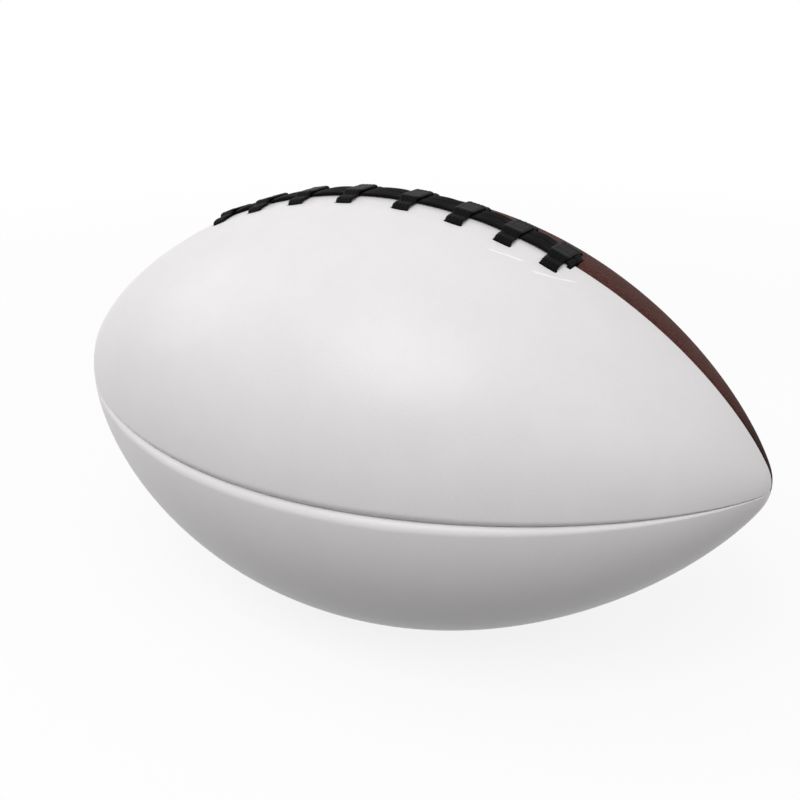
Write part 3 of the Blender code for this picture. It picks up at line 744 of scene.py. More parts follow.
class MESH_OT_football_lace(bpy.types.Operator):
    """Make the one continuous lace: two strands and eight cross bars"""

    bl_idname = "mesh.football_lace"
    bl_label = "Lace"

    def execute(self, context):
        ball = Ball(context.scene.football_sizes)
        points = []
        values = []
        for x, across, height, heading, wide, swell in lace_route(ball):
            along, sideways, _ = ball.directions(x, across)
            turn = math.radians(heading)
            width = along * math.cos(turn) + sideways * math.sin(turn)
            points.append(ball.over(x, across, height))
            values.append((*width, wide, swell))
        ribbed = lace_section(ball, ball.lace_rib_depth)
        smoothed = lace_section(ball, ball.lace_rib_depth * (1 - CROWN_SMOOTH))
        line = run_through(points, values, LACE_STEP)

        def section(values):
            spread = max(0, (values[3] - 1) / (ball.crown_width - 1))
            return [
                (wide * values[3], (high + (flatter - high) * spread) * values[4])
                for (wide, high), (_, flatter) in zip(ribbed, smoothed)
            ]

        made = skin("football_lace", rings_along(line, section, lambda values: Vector(values[:3])))
        smooth(made, LACE_SHARP)
        place(made, ball, "lace_vinyl", "lace")
        return {"FINISHED"}


# Seam threads

CORNER_CUT = 0.3
CORNER_RADIUS = 0.75
PLIES = 3
PLY_POINTS = 12
PLY_DEPTH = 0.10
PLY_TURN = 0.0022
THREAD_STEP = 0.0009
THREAD_SHARP = 60


def stitch_places(start, end):
    count = max(1, round((end - start) / STITCH_LENGTH))
    return [start + (end - start) * index / count for index in range(count + 1)]


def seam_spans(ball, quarter):
    """Where a seam is sewn: all along, or at the top only beyond the slit."""
    reach = ball.reach_of(THREAD_END_RADIUS)
    if quarter % 4:
        return [(-reach, reach)]
    first = SLIT_HALF + STITCH_LENGTH / 2
    return [(-reach, -first), (first, reach)]


def seam_point(ball, x, side, depth):
    radius = ball.layer_radius(x, depth)
    up = math.sqrt(radius ** 2 - side ** 2)
    return Vector((x - depth * ball.normal_at(x)[0], side, up + ball.centre))


def rounded(points, radius):
    """A line with each corner turned into a short arc."""
    line = [points[0]]
    for before, corner, after in zip(points, points[1:], points[2:]):
        back = (before - corner).normalized() * radius
        forth = (after - corner).normalized() * radius
        line += [corner + back, corner + (back + forth) * CORNER_CUT, corner + forth]
    return line + [points[-1]]


class MESH_OT_football_threads(bpy.types.Operator):
    """Make the sewing thread of every seam, inside the ball"""

    bl_idname = "mesh.football_threads"
    bl_label = "Seam Threads"

    def execute(self, context):
        ball = Ball(context.scene.football_sizes)
        names = (("top_left", "top_right"), ("white_side",), ("bottom",), ("brown_side",))
        for quarter, seam_names in enumerate(names):
            for seam, (start, end) in zip(seam_names, seam_spans(ball, quarter)):
                made = self.thread(ball, f"thread_{seam}", quarter, start, end)
                place(made, ball, "sewing_thread", f"seam_thread_{seam}")
        return {"FINISHED"}

    def thread(self, ball, name, quarter, start, end):
        side = ball.thread_side
        points = []
        for x in stitch_places(start, end):
            points += [seam_point(ball, x, way, ball.thread_level) for way in (side, -side)]
            side = -side
        lead = Vector((THREAD_HOLE, 0, 0))
        points = ball.turned([points[0] - lead, *points, points[-1] + lead], quarter)
        corners = rounded(points, ball.thread_diameter * CORNER_RADIUS)
        up = ball.turned([Vector((0, 0, 1 + ball.centre))], quarter)[0] - Vector((0, 0, ball.centre))
        travelled = 0.0
        values = []
        for before, point in zip((corners[0], *corners), corners):
            travelled += (point - before).length
            values.append((*up, travelled))

        def section(values):
            outline = []
            for index in range(PLY_POINTS):
                turn = 2 * math.pi * index / PLY_POINTS
                lobe = 1 - PLY_DEPTH * (1 - math.cos(PLIES * turn))
                twist = turn + 2 * math.pi * values[3] / PLY_TURN / PLIES
                radius = ball.thread_diameter / 2 * lobe
                outline.append((radius * math.cos(twist), radius * math.sin(twist)))
            return outline

        line = run_through(corners, values, THREAD_STEP / 2)
        made = skin(name, rings_along(line, section, lambda values: Vector(values[:3])))
        smooth(made, THREAD_SHARP)
        return made


# Valve

VALVE_RECESS = 0.0004
PLUG_HEAD_THICKNESS = 0.0008
PLUG_STEM = 0.0046
VALVE_FLANGE_THICKNESS = 0.0015
SPIN_STEPS = 72
RIM_LIP = 0.0004
RIM_EDGE = 0.0001
RIM_GROOVE = 0.00015
FUNNEL_WIDTH = 0.0009
FUNNEL_DEPTH = 0.0005
HOUSING_ROUNDING = 0.00008
PLUG_ROUNDING = 0.00006
VALVE_SHARP = 35


def spun(name, outline, rounding):
    """A turned piece: a circle shaped into a closed outline of (radius, height) points, then spun."""
    deselect()
    bpy.ops.mesh.primitive_circle_add(vertices=len(outline), radius=1, fill_type="NOTHING")
    made = bpy.context.object
    made.name = made.data.name = name
    made.data.vertices.foreach_set("co", [number for r, height in outline for number in (r, 0, height)])
    bpy.ops.object.mode_set(mode="EDIT")
    bpy.ops.mesh.select_all(action="SELECT")
    bpy.ops.mesh.spin(steps=SPIN_STEPS, angle=2 * math.pi, center=(0, 0, 0), axis=(0, 0, 1))
    bpy.ops.mesh.select_all(action="SELECT")
    bpy.ops.mesh.remove_doubles(threshold=MERGE_DISTANCE)
    bpy.ops.mesh.normals_make_consistent(inside=False)
    bpy.ops.object.mode_set(mode="OBJECT")
    bevel = made.modifiers.new("rounding", "BEVEL")
    bevel.width = rounding
    bevel.segments = BEVEL_STEPS
    bevel.limit_method = "ANGLE"
    apply_all(made)
    return made


class MESH_OT_football_valve(bpy.types.Operator):
    """Make the valve's moulded housing and its plug, in the lower brown panel"""

    bl_idname = "mesh.football_valve"
    bl_label = "Valve"

    def execute(self, context):
        ball = Ball(context.scene.football_sizes)
        top = ball.radius - VALVE_RECESS
        flange = self.flange_top(ball)
        bottom = flange - VALVE_FLANGE_THICKNESS
        neck = ball.valve_neck / 2
        seat = ball.plug_head / 2 + GAP
        bore = PLUG_STEM / 2 + GAP
        shelf = top - PLUG_HEAD_THICKNESS - GAP
        rim = ball.valve_flange / 2
        housing = spun("valve_body", [
            (bore, bottom), (rim, bottom), (rim, flange), (neck, flange),
            (neck, top), (neck - RIM_LIP, top), (neck - RIM_LIP - RIM_EDGE, top - RIM_GROOVE),
            (seat + 2 * RIM_EDGE, top - RIM_GROOVE), (seat + RIM_EDGE, top), (seat, top), (seat, shelf),
            (bore, shelf),
        ], HOUSING_ROUNDING)
        head = ball.plug_head / 2
        hole = ball.needle_hole / 2
        under = top - PLUG_HEAD_THICKNESS
        stem = PLUG_STEM / 2
        plug = spun("valve_needle_plug", [
            (hole, bottom), (stem, bottom), (stem, under), (head, under), (head, top - RIM_EDGE),
            (head - 2 * RIM_EDGE, top), (hole + FUNNEL_WIDTH, top),
            (hole + 2 * RIM_EDGE, top - FUNNEL_DEPTH / 2), (hole, top - FUNNEL_DEPTH),
        ], PLUG_ROUNDING)
        pieces = ((housing, "valve_rubber", "valve_housing"), (plug, "plug_rubber", "valve_plug"))
        for made, slot, node in pieces:
            made.data.transform(valve_turn(ball))
            smooth(made, VALVE_SHARP)
            place(made, ball, slot, node)
        return {"FINISHED"}

    def flange_top(self, ball):
        """The height of the flange, as the part has it, under the bladder's inner face."""
        middle = QUARTER / 2
        between = (FACING_HALF / ball.radius + middle) / 2
        fall = ball.valve_flange / 2 * math.tan((middle - between) / 2)
        return ball.radius - ball.lining_bottom - BLADDER_THICKNESS - fall - 3 * GAP


# Inner layers

INNER_STEPS = 110
LINING_COLUMNS = 28
STRIP_COLUMNS = 8
BLADDER_COLUMNS = 96
BLADDER_EASE = 0.0060
GUARD_EASE = 0.004


def sheet_ring(ball, x, angles, top, bottom):
    points = [ball.point(x, angle, top) for angle in angles]
    return points + [ball.point(x, angle, bottom) for angle in reversed(angles)]


def strip_ring(ball, x, offsets, top, bottom):
    """One ring of a thin strip beside the top seam, its offsets running towards +Y."""
    ring = []
    for depth, places in ((top, offsets), (bottom, offsets[::-1])):
        for offset in places:
            angle = ball.beside(x, abs(offset), depth)
            ring.append(ball.point(x, math.copysign(angle, -offset), depth))
    return ring


class MESH_OT_football_inner_layers(bpy.types.Operator):
    """Make the linings, the lacing's doubling strips, the guard under it and the bladder"""

    bl_idname = "mesh.football_inner_layers"
    bl_label = "Inner Layers"

    def execute(self, context):
        ball = Ball(context.scene.football_sizes)
        self.linings(ball)
        self.strips(ball)
        self.bladder(ball)
        return {"FINISHED"}

    def linings(self, ball):
        stations = ball.stations(INNER_STEPS, ball.reach_of(LINING_END_RADIUS))
        for quarter, name in enumerate(("white_laced", "white_lower", "brown_lower", "brown_laced")):
            rings = []
            for x in stations:
                side = EDGE_OFFSET + FLANGE_THICKNESS * ball.fade(x) + GAP
                start = ball.beside(x, side, ball.lining_bottom)
                wide = QUARTER - 2 * start
                angles = [start + wide * step / LINING_COLUMNS for step in range(LINING_COLUMNS + 1)]
                ring = sheet_ring(ball, x, angles, ball.lining_top, ball.lining_bottom)
                rings.append(ball.turned(ring, quarter))
            made = skin(f"cloth_{name}", rings)
            if quarter in (0, 3):
                cut(made, [lace_cutter(ball)])
            if quarter == 2:
                cut(made, [valve_cutter(ball)])
            smooth(made)
            place(made, ball, "lining_cloth", f"lining_{name}")

    def strips(self, ball):
        stations = ball.stations(INNER_STEPS, SLIT_HALF)
        inner = EDGE_OFFSET + FLANGE_THICKNESS + GAP
        for name, side in (("white", -1), ("brown", 1)):
            shares = [step / STRIP_COLUMNS for step in range(STRIP_COLUMNS + 1)]
            offsets = [side * (inner + (FACING_HALF - inner) * share) for share in shares]
            rings = [strip_ring(ball, x, offsets, ball.facing_top, ball.facing_bottom) for x in stations]
            made = skin(f"doubling_{name}", rings)
            cut(made, [lace_cutter(ball)])
            smooth(made)
            place(made, ball, "facing_cloth", f"lace_facing_{name}")
        top = ball.lace_under + ball.lace_thickness / 2 + GAP
        offsets = [FACING_HALF * (step / STRIP_COLUMNS - 1) for step in range(2 * STRIP_COLUMNS + 1)]
        rings = [strip_ring(ball, x, offsets, top, top + GUARD_THICKNESS) for x in stations]
        guard = skin("lace_tongue", rings)
        smooth(guard)
        place(guard, ball, "guard_rubber", "bladder_guard")

    def bladder(self, ball):
        """A thin rubber skin, pressed in along the seams and under the lacing."""
        stations = ball.stations(INNER_STEPS, ball.reach_of(BLADDER_END_RADIUS))
        guard = ball.lace_under + ball.lace_thickness / 2 + GAP + GUARD_THICKNESS + GAP
        rings = []
        for x in stations:
            ring = []
            for step in range(BLADDER_COLUMNS):
                angle = 2 * math.pi * step / BLADDER_COLUMNS
                beside = min(angle % QUARTER, QUARTER - angle % QUARTER) * ball.radius_at(x)
                seam = ball.flange_end(x, False) + GAP
                groove = (ball.thread_side + ball.thread_diameter) * ball.fade(x)
                depth = ball.lining_bottom + GAP
                depth += (seam - depth) * ease(1 - (beside - groove) / (BLADDER_EASE * ball.fade(x)))
                top = min(angle, 2 * math.pi - angle) * ball.radius_at(x)
                pressed = ease(1 - (top - FACING_HALF) / BLADDER_EASE)
                pressed *= ease(1 - (abs(x) - SLIT_HALF) / GUARD_EASE)
                depth += max(0, guard - depth) * pressed
                ring.append(ball.point(x, angle, depth))
            rings.append(ring)
        made = skin("air_bladder", rings)
        wall = made.modifiers.new("wall", "SOLIDIFY")
        wall.thickness = BLADDER_THICKNESS
        wall.offset = -1
        apply_all(made)
        cut(made, [valve_cutter(ball)])
        smooth(made)
        place(made, ball, "bladder_rubber", "bladder")


# Finishes

ORIGIN = (0.0, 0.0, 0.0)
PEBBLE_WAVES = 0.7
PEBBLE_WARP = 0.8
PEBBLE_SOFTNESS = 0.35
PEBBLE_TOP = 0.05
PEBBLE_FOOT = 0.75
PEBBLE_EDGE = 0.16
# Share of its colour that a cover or cloth keeps where shade is painted into creases and gaps
CREASE_SHADE = 0.35
SPECK_FINENESS = 24.0
SPECK_SHARE = 0.12
MOTTLE_SPAN = (0.3, 0.7)
WEAVE_CROSSING = 0.2
WEAVE_GAP = 0.45
WEAVE_DEPTH = 0.3
# Two pale lines on the white cover: painted highlight in the colour, over a slight ridge in the bump
HIGHLIGHT_LINES = (((0.0451, -0.01655), (0.0573, -0.0142), 0.0), ((0.0601, -0.01663), (0.0735, -0.0090), -0.0007))
HIGHLIGHT_WIDTH = 0.0007
HIGHLIGHT_RIDGE_HEIGHT = 0.00012
HIGHLIGHT_LOWEST = 0.12
HIGHLIGHT_END_FADE = 0.12
PAINTED_HIGHLIGHT_COLOUR = (0.97, 0.965, 0.965, 1.0)
# Where the covers darken towards the tips: painted shade, as the tips get little light
TIP_PAINTED_SHADE = (0.114, 0.138)
COVER_PATCH = 0.012
LACE_PATCH = 0.006
CLOTH_PATCH = 0.01
RUBBER_PATCH = 0.008
SCUFF_SCALE = (9000.0, 260.0, 1.0)
FIBRE_SCALE = (9000.0, 900.0, 1.0)
FIBRE_TURN = (0.0, 0.0, 0.5)


def feed(tree, node, inputs):
    """Gives a node each input as a value, or as the output that feeds it."""
    for name, value in inputs.items():
        if isinstance(value, bpy.types.NodeSocket):
            tree.links.new(value, node.inputs[name])
        else:
            node.inputs[name].default_value = value


def add(tree, kind, inputs=None, **settings):
    made = tree.nodes.new(kind)
    for name, value in settings.items():
        setattr(made, name, value)
    feed(tree, made, inputs or {})
    return made


def maths(tree, operation, *values):
    return add(tree, "ShaderNodeMath", dict(enumerate(values)), operation=operation).outputs[0]


def vector_maths(tree, operation, first, second=ORIGIN):
    """The result for two vectors, or for a vector and a number where it is scaled."""
    socket = "Scale" if operation == "SCALE" else 1
    made = add(tree, "ShaderNodeVectorMath", {0: first, socket: second}, operation=operation)
    return made.outputs["Value" if operation in ("DOT_PRODUCT", "LENGTH") else "Vector"]


def remap(tree, value, start, end, low=0.0, high=1.0, kind="LINEAR"):
    """A value brought from one range to another, and kept inside it."""
    inputs = {"Value": value, "From Min": start, "From Max": end, "To Min": low, "To Max": high}
    return add(tree, "ShaderNodeMapRange", inputs, interpolation_type=kind).outputs["Result"]


def noise(tree, where, scale, detail):
    return add(tree, "ShaderNodeTexNoise", {"Vector": where, "Scale": scale, "Detail": detail}).outputs


def blend_colour(tree, factor, first, second):
    """Two colours mixed: inputs 6 and 7 and output 2 are the mix node's colours."""
    return add(tree, "ShaderNodeMix", {"Factor": factor, 6: first, 7: second}, data_type="RGBA").outputs[2]


def shades(tree, factor, colour, span):
    """The colour from a darker to a lighter share of itself."""
    return blend_colour(tree, factor, shade(colour, span[0]), shade(colour, span[1]))


def spread(tree, value, span):
    """A value from 0 to 1 brought to this span."""
    return remap(tree, value, 0.0, 1.0, *span)


def bump(tree, height, distance, normal=None):
    inputs = {"Height": height, "Distance": distance, "Strength": 1.0}
    if normal:
        inputs["Normal"] = normal
    return add(tree, "ShaderNodeBump", inputs).outputs["Normal"]


def pebbles(tree, given):
    """Leather grain: rounded pebbles with creases between them."""
    scaled = vector_maths(tree, "SCALE", given["Vector"], maths(tree, "DIVIDE", 1.0, given["Size"]))
    waves = noise(tree, scaled, PEBBLE_WAVES, 2.0)
    shift = vector_maths(tree, "SUBTRACT", waves["Color"], (0.5, 0.5, 0.5))
    warped = vector_maths(tree, "ADD", scaled, vector_maths(tree, "SCALE", shift, PEBBLE_WARP))
    cell = {"Vector": warped, "Scale": 1.0}
    soft_cell = {**cell, "Smoothness": PEBBLE_SOFTNESS}
    cells = add(tree, "ShaderNodeTexVoronoi", soft_cell, feature="SMOOTH_F1")
    edges = add(tree, "ShaderNodeTexVoronoi", cell, feature="DISTANCE_TO_EDGE")
    height = remap(tree, cells.outputs["Distance"], PEBBLE_TOP, PEBBLE_FOOT, 1.0, 0.0, "SMOOTHSTEP")
    return height, remap(tree, edges.outputs["Distance"], 0.0, PEBBLE_EDGE, 1.0, 0.0)


def mottle(tree, given):
    """Uneven patches and fine specks, for handled and moulded surfaces."""
    fine = maths(tree, "DIVIDE", 1.0, given["Size"])
    finer = maths(tree, "MULTIPLY", fine, SPECK_FINENESS)
    both = (noise(tree, given["Vector"], fine, 3.0), noise(tree, given["Vector"], finer, 2.0))
    return [remap(tree, made[0], *MOTTLE_SPAN) for made in both]


def weave(tree, given):
    """Plain weave, from a vector in metres: the threads' height, and 1 in the gaps between them."""
    parts = add(tree, "ShaderNodeSeparateXYZ", {0: given["Vector"]}).outputs
    waves = []
    for axis in ("X", "Y"):
        turn = maths(tree, "MULTIPLY", maths(tree, "DIVIDE", parts[axis], given["Pitch"]), math.pi)
        waves.append(maths(tree, "SINE", turn))
    side = remap(tree, maths(tree, "MULTIPLY", *waves), -WEAVE_CROSSING, WEAVE_CROSSING)
    humps = [maths(tree, "ABSOLUTE", wave) for wave in waves]
    height = add(tree, "ShaderNodeMix", {"Factor": side, "A": humps[0], "B": humps[1]}).outputs[0]
    return height, remap(tree, maths(tree, "MAXIMUM", *humps), 0.0, WEAVE_GAP, 1.0, 0.0)


def rub_line(tree, given):
    """A thin line of painted highlight on the top of the ball, seen from above: 1 along its middle and 0
    off it.
    """
    away = vector_maths(tree, "SUBTRACT", given["Vector"], given["Start"])
    reach = vector_maths(tree, "DOT_PRODUCT", away, given["Along"])
    share = maths(tree, "DIVIDE", reach, given["Length"])
    sideways = vector_maths(tree, "CROSS_PRODUCT", (0.0, 0.0, 1.0), given["Along"])
    off = vector_maths(tree, "DOT_PRODUCT", away, sideways)
    arch = maths(tree, "MULTIPLY", share, maths(tree, "SUBTRACT", 1.0, share))
    bowed = maths(tree, "MULTIPLY", arch, given["Bow"])
    far = maths(tree, "ABSOLUTE", maths(tree, "SUBTRACT", off, bowed))
    across = remap(tree, far, given["Width"], 0.0, kind="SMOOTHSTEP")
    ends = remap(tree, arch, 0.0, HIGHLIGHT_END_FADE, kind="SMOOTHSTEP")
    return [maths(tree, "MULTIPLY", across, ends)]


# Each shared node group's function, its inputs with their defaults, and its outputs
GROUPS = {
    "leather_pebbles": (pebbles, {"Vector": ORIGIN, "Size": 0.0015}, ("Height", "Crease")),
    "surface_mottle": (mottle, {"Vector": ORIGIN, "Size": 0.02}, ("Patches", "Specks")),
    "plain_weave": (weave, {"Vector": ORIGIN, "Pitch": 0.0006}, ("Height", "Gap")),
    "rub_line": (
        rub_line,
        {"Vector": ORIGIN, "Start": ORIGIN, "Along": ORIGIN, "Length": 0.01, "Bow": 0.0, "Width": 0.001},
        ("Mask",),
    ),
}


def group_of(name):
    """A shader node group, made the first time that it is asked for."""
    found = bpy.data.node_groups.get(name)
    if found:
        return found
    wire, inputs, outputs = GROUPS[name]
    tree = bpy.data.node_groups.new(name, "ShaderNodeTree")
    for socket, default in inputs.items():
        kind = "NodeSocketVector" if default == ORIGIN else "NodeSocketFloat"
        tree.interface.new_socket(socket, in_out="INPUT", socket_type=kind).default_value = default
    for socket in outputs:
        tree.interface.new_socket(socket, in_out="OUTPUT", socket_type="NodeSocketFloat")
    given = tree.nodes.new("NodeGroupInput").outputs
    out = tree.nodes.new("NodeGroupOutput")
    feed(tree, out, dict(zip(outputs, wire(tree, given))))
    return tree


def use_group(tree, name, inputs):
    return add(tree, "ShaderNodeGroup", inputs, node_tree=group_of(name)).outputs


def painted_highlight_lines(tree, where):
    """The mask of the two pale lines beside the lacing's right-hand end, where highlight is painted."""
    masks = []
    for start, end, bow in HIGHLIGHT_LINES:
        along = Vector(end) - Vector(start)
        masks.append(use_group(tree, "rub_line", {
            "Vector": where, "Start": (*start, 0.0), "Along": (*along.normalized(), 0.0),
            "Length": along.length, "Bow": 4 * bow, "Width": HIGHLIGHT_WIDTH,
        })["Mask"])
    height = add(tree, "ShaderNodeSeparateXYZ", {0: where}).outputs["Z"]
    top = maths(tree, "GREATER_THAN", height, HIGHLIGHT_LOWEST)
    return maths(tree, "MULTIPLY", maths(tree, "MAXIMUM", *masks), top)


def shade(colour, share):
    return (*(part * share for part in colour), 1)


def blank_material(name):
    """A new material with its shader in place, and the coordinates that its patterns read."""
    made = bpy.data.materials.new(name)
    made.use_nodes = True
    tree = made.node_tree
    tree.nodes.clear()
    shader = tree.nodes.new("ShaderNodeBsdfPrincipled")
    add(tree, "ShaderNodeOutputMaterial", {"Surface": shader.outputs[0]})
    return made, tree, shader, tree.nodes.new("ShaderNodeTexCoord").outputs


def cover_finish(name, colour, span, grain, depth, creases, roughness, specular, tip_shade, painted_highlights):
    """Composite leather: colour, mottle and pebble grain at the size that the panel shows."""
    made, tree, shader, coordinates = blank_material(name)
    where = coordinates["Object"]
    grained = use_group(tree, "leather_pebbles", {"Vector": where, "Size": grain})
    mottled = use_group(tree, "surface_mottle", {"Vector": where, "Size": COVER_PATCH})
    base = shades(tree, mottled["Patches"], colour, span)
    # Painted shade in the grain's creases
    crease_shading = maths(tree, "MULTIPLY", grained["Crease"], creases)
    base = blend_colour(tree, crease_shading, base, shade(colour, CREASE_SHADE))
    # Painted shade: the colour darkens towards the tips by tip_shade
    reach = maths(tree, "ABSOLUTE", add(tree, "ShaderNodeSeparateXYZ", {0: where}).outputs["X"])
    painted_tip_shade = remap(tree, reach, *TIP_PAINTED_SHADE, kind="SMOOTHSTEP")
    base = blend_colour(tree, painted_tip_shade, base, shade(colour, tip_shade))
    normal = bump(tree, grained["Height"], depth)
    if painted_highlights:
        # Painted highlight: the pale lines are lightened in colour, and raised as a slight ridge by the
        # bump
        highlight_mask = painted_highlight_lines(tree, where)
        base = blend_colour(tree, highlight_mask, base, PAINTED_HIGHLIGHT_COLOUR)
        normal = bump(tree, highlight_mask, HIGHLIGHT_RIDGE_HEIGHT, normal)
    feed(tree, shader, {
        "Base Color": base,
        "Roughness": spread(tree, mottled["Specks"], roughness),
        "Normal": bump(tree, mottled["Specks"], depth * SPECK_SHARE, normal),
        "Specular IOR Level": specular,
    })
    return made


def lace_finish(name, colour, span, roughness, scuff_depth, speck_depth, specular):
    """Black vinyl, with fine scuffs along the lace and a slight bloom in places."""
    made, tree, shader, coordinates = blank_material(name)
    mottled = use_group(tree, "surface_mottle", {"Vector": coordinates["Object"], "Size": LACE_PATCH})
    stretched = add(tree, "ShaderNodeMapping", {"Vector": coordinates["UV"], "Scale": SCUFF_SCALE})
    scuffs = noise(tree, stretched.outputs[0], 1.0, 2.0)[0]
    feed(tree, shader, {
        "Base Color": shades(tree, mottled["Patches"], colour, span),
        "Roughness": spread(tree, scuffs, roughness),
        "Normal": bump(tree, mottled["Specks"], speck_depth, bump(tree, scuffs, scuff_depth)),
        "Specular IOR Level": specular,
    })
    return made


def cloth_finish(name, colour, span, roughness, pitch, sheen):
    """Woven cloth on the piece's own map."""
    made, tree, shader, coordinates = blank_material(name)
    woven = use_group(tree, "plain_weave", {"Vector": coordinates["UV"], "Pitch": pitch})
    mottled = use_group(tree, "surface_mottle", {"Vector": coordinates["Object"], "Size": CLOTH_PATCH})
    base = shades(tree, mottled["Patches"], colour, span)
    feed(tree, shader, {
        # Painted shade in the gaps between the threads
        "Base Color": blend_colour(tree, woven["Gap"], base, shade(colour, CREASE_SHADE)),
        "Roughness": spread(tree, mottled["Specks"], roughness),
        "Normal": bump(tree, woven["Height"], pitch * WEAVE_DEPTH),
        "Sheen Weight": sheen,
    })
    return made


def thread_finish(name, colour, span, roughness, depth, sheen):
    """Bonded thread: fibres laid along the twist."""
    made, tree, shader, coordinates = blank_material(name)
    laid = {"Vector": coordinates["UV"], "Scale": FIBRE_SCALE, "Rotation": FIBRE_TURN}
    stretched = add(tree, "ShaderNodeMapping", laid)
    fibres = noise(tree, stretched.outputs[0], 1.0, 3.0)[0]
    feed(tree, shader, {
        "Base Color": shades(tree, fibres, colour, span),
        "Roughness": spread(tree, fibres, roughness),
        "Normal": bump(tree, fibres, depth),
        "Sheen Weight": sheen,
    })
    return made


def rubber_finish(name, colour, span, roughness, depth, specular):
    """Moulded rubber with a fine skin and a little bloom."""
    made, tree, shader, coordinates = blank_material(name)
    mottled = use_group(tree, "surface_mottle", {"Vector": coordinates["Object"], "Size": RUBBER_PATCH})
    feed(tree, shader, {
        "Base Color": shades(tree, mottled["Patches"], colour, span),
        "Roughness": spread(tree, mottled["Patches"], roughness),
        "Normal": bump(tree, mottled["Specks"], depth),
        "Specular IOR Level": specular,
    })
    return made


CLOTH = {"span": (0.88, 1.08), "roughness": (0.84, 0.94), "sheen": 0.2}
RUBBER = {"span": (0.8, 1.35), "roughness": (0.44, 0.58), "depth": 0.00002, "specular": 0.15}

# Each slot's maker, the name of its colour in the panel, and its settings
FINISHES = {
    "white_cover": (cover_finish, "white_cover", {
        "span": (0.988, 1.012), "grain": 0.0011, "depth": 0.000012, "creases": 0.03,
        "roughness": (0.30, 0.38), "specular": 0.4, "tip_shade": 0.95, "painted_highlights": True,
    }),
    "brown_cover": (cover_finish, "brown_cover", {
        "span": (0.88, 1.12), "grain": 0.0014, "depth": 0.00016, "creases": 0.5,
        "roughness": (0.62, 0.70), "specular": 0.035, "tip_shade": 0.22, "painted_highlights": False,
    }),
    "lace_vinyl": (lace_finish, "lace", {
        "span": (0.7, 1.5), "roughness": (0.40, 0.56), "scuff_depth": 0.00003, "speck_depth": 0.00002,
        "specular": 0.06,
    }),
    "sewing_thread": (thread_finish, "thread", {
        "span": (0.7, 1.1), "roughness": (0.7, 0.9), "depth": 0.00005, "sheen": 0.15,
    }),
    "lining_cloth": (cloth_finish, "lining", {**CLOTH, "pitch": 0.0007}),
    "facing_cloth": (cloth_finish, "facing", {**CLOTH, "pitch": 0.0005}),
    "guard_rubber": (rubber_finish, "guard", {**RUBBER, "roughness": (0.64, 0.78), "depth": 0.00003}),
    "bladder_rubber": (rubber_finish, "bladder", {**RUBBER, "roughness": (0.39, 0.53)}),
    "valve_rubber": (rubber_finish, "valve", RUBBER),
    "plug_rubber": (rubber_finish, "plug", RUBBER),
}


def finish_of(slot):
    """The finish of a material slot, made the first time that it is asked for."""
    found = bpy.data.materials.get(f"finish_{slot}")
    if found:
        return found
    maker, colour, settings = FINISHES[slot]
    return maker(f"finish_{slot}", getattr(bpy.context.scene.football_colours, colour), **settings)


# Stage

FLOOR_RADIUS = 12.0
FLOOR_SIDES = 96
FLOOR_SEEN = (0.96, 0.96, 0.96, 1)
FLOOR_GLOW = 0.85
FLOOR_NEAR = 0.35
FLOOR_FAR = 0.9
AMBIENT = 0.53
LAMP_DISTANCE = 2.0

# Each lamp's name, turn and rise in degrees, width in metres and power in watts
LAMPS = (
    ("key_softbox", 0, 50, 1.4, 18),
    ("side_softbox", -80, 30, 1.4, 5.7),
    ("fill_softbox", 60, 30, 1.4, 4.8),
)
WHITE = (1, 1, 1, 1)


def seen_by_eye(tree):
    """1 where a ray from the camera, a mirror or glass ends, and 0 where light is gathered."""
    rays = tree.nodes.new("ShaderNodeLightPath").outputs
    first = maths(tree, "MAXIMUM", rays["Is Camera Ray"], rays["Is Glossy Ray"])
    return maths(tree, "MAXIMUM", first, rays["Is Transmission Ray"])


def aimed(name, data, location, aim, roll=0.0):
    """A lamp or camera at its place, turned towards what it looks at."""
    made = bpy.data.objects.new(name, data)
    bpy.context.scene.collection.objects.link(made)
    made.location = location
    view = (aim - location).to_track_quat("-Z", "Y")
    made.rotation_euler = (view @ Matrix.Rotation(roll, 3, "Z").to_quaternion()).to_euler()
    return made


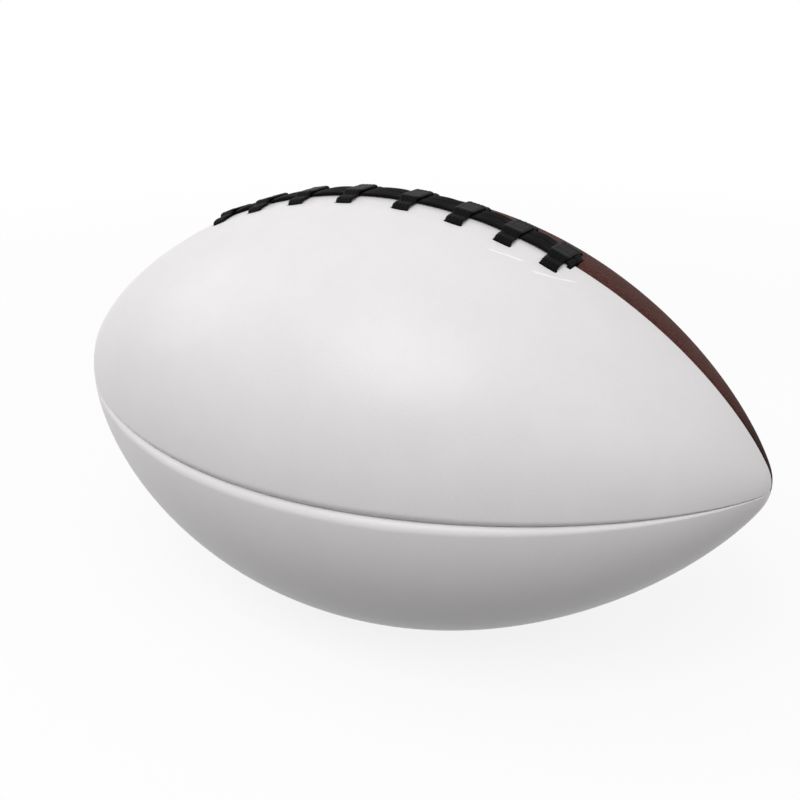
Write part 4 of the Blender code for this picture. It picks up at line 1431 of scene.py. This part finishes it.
class MESH_OT_football_stage(bpy.types.Operator):
    """Make the floor, the light and the camera"""

    bl_idname = "mesh.football_stage"
    bl_label = "Stage"

    def execute(self, context):
        middle = Vector((0, 0, Ball(context.scene.football_sizes).centre))
        self.floor(context)
        self.world(context)
        for name, azimuth, elevation, size, power in LAMPS:
            lamp = bpy.data.lights.new(name, "AREA")
            lamp.shape = "DISK"
            lamp.size = size
            lamp.energy = power
            turn = math.radians(azimuth)
            rise = math.radians(elevation)
            level = math.cos(rise)
            way = Vector((math.sin(turn) * level, -math.cos(turn) * level, math.sin(rise)))
            aimed(name, lamp, middle + way * LAMP_DISTANCE, middle)
        lens = bpy.data.cameras.new("photo_camera")
        lens.lens = CAMERA_LENS
        lens.sensor_width = CAMERA_SENSOR
        aim = Vector(CAMERA_AIM) + middle
        context.scene.camera = aimed("photo_camera", lens, Vector(CAMERA_PLACE) + middle, aim, -CAMERA_ROLL)
        context.scene.view_settings.view_transform = "Standard"
        return {"FINISHED"}

    def floor(self, context):
        deselect()
        bpy.ops.mesh.primitive_circle_add(vertices=FLOOR_SIDES, radius=FLOOR_RADIUS, fill_type="NGON")
        made = bpy.context.object
        made.name = made.data.name = "stage_floor"
        material = bpy.data.materials.new("stage_floor")
        material.use_nodes = True
        tree = material.node_tree
        tree.nodes.clear()
        eye = seen_by_eye(tree)
        colour = blend_colour(tree, eye, shade(context.scene.football_colours.floor, 1), FLOOR_SEEN)
        matte = add(tree, "ShaderNodeBsdfDiffuse", {"Color": colour})
        glow = add(tree, "ShaderNodeEmission", {"Color": WHITE, "Strength": 1.0})
        far = vector_maths(tree, "LENGTH", tree.nodes.new("ShaderNodeTexCoord").outputs["Object"])
        glow_share = remap(tree, far, FLOOR_NEAR, FLOOR_FAR, FLOOR_GLOW, 1.0, "SMOOTHSTEP")
        share = maths(tree, "MULTIPLY", eye, glow_share)
        mixed = add(tree, "ShaderNodeMixShader", {0: share, 1: matte.outputs[0], 2: glow.outputs[0]})
        add(tree, "ShaderNodeOutputMaterial", {"Surface": mixed.outputs[0]})
        made.data.materials.append(material)

    def world(self, context):
        world = bpy.data.worlds.new("studio")
        context.scene.world = world
        world.use_nodes = True
        tree = world.node_tree
        tree.nodes.clear()
        strength = remap(tree, seen_by_eye(tree), 0.0, 1.0, AMBIENT, 1.0)
        light = add(tree, "ShaderNodeBackground", {"Color": WHITE, "Strength": strength})
        add(tree, "ShaderNodeOutputWorld", {"Surface": light.outputs[0]})


class VIEW3D_PT_football(bpy.types.Panel):
    """Lists the football's sizes, colours and makers in the sidebar"""

    bl_idname = "VIEW3D_PT_football"
    bl_label = "American Football"
    bl_space_type = "VIEW_3D"
    bl_region_type = "UI"
    bl_category = "Football"

    def draw(self, context):
        for heading, group in (
            ("Sizes", context.scene.football_sizes),
            ("Colours", context.scene.football_colours),
        ):
            box = self.layout.box()
            box.label(text=heading)
            for name in group.bl_rna.properties.keys():
                if name not in ("rna_type", "name"):
                    box.prop(group, name)
        column = self.layout.column(align=True)
        for operator in OPERATORS:
            column.operator(operator.bl_idname)


OPERATORS = (
    MESH_OT_football_cover,
    MESH_OT_football_lace,
    MESH_OT_football_threads,
    MESH_OT_football_valve,
    MESH_OT_football_inner_layers,
    MESH_OT_football_stage,
)
CLASSES = (FootballSizes, FootballColours, *OPERATORS, VIEW3D_PT_football)


def register():
    for kind in CLASSES:
        bpy.utils.register_class(kind)
    bpy.types.Scene.football_sizes = PointerProperty(type=FootballSizes)
    bpy.types.Scene.football_colours = PointerProperty(type=FootballColours)


def unregister():
    del bpy.types.Scene.football_colours
    del bpy.types.Scene.football_sizes
    for kind in reversed(CLASSES):
        bpy.utils.unregister_class(kind)


def main():
    register()
    bpy.ops.mesh.football_cover()
    bpy.ops.mesh.football_lace()
    bpy.ops.mesh.football_threads()
    bpy.ops.mesh.football_valve()
    bpy.ops.mesh.football_inner_layers()
    bpy.ops.mesh.football_stage()


if __name__ == "__main__":
    main()
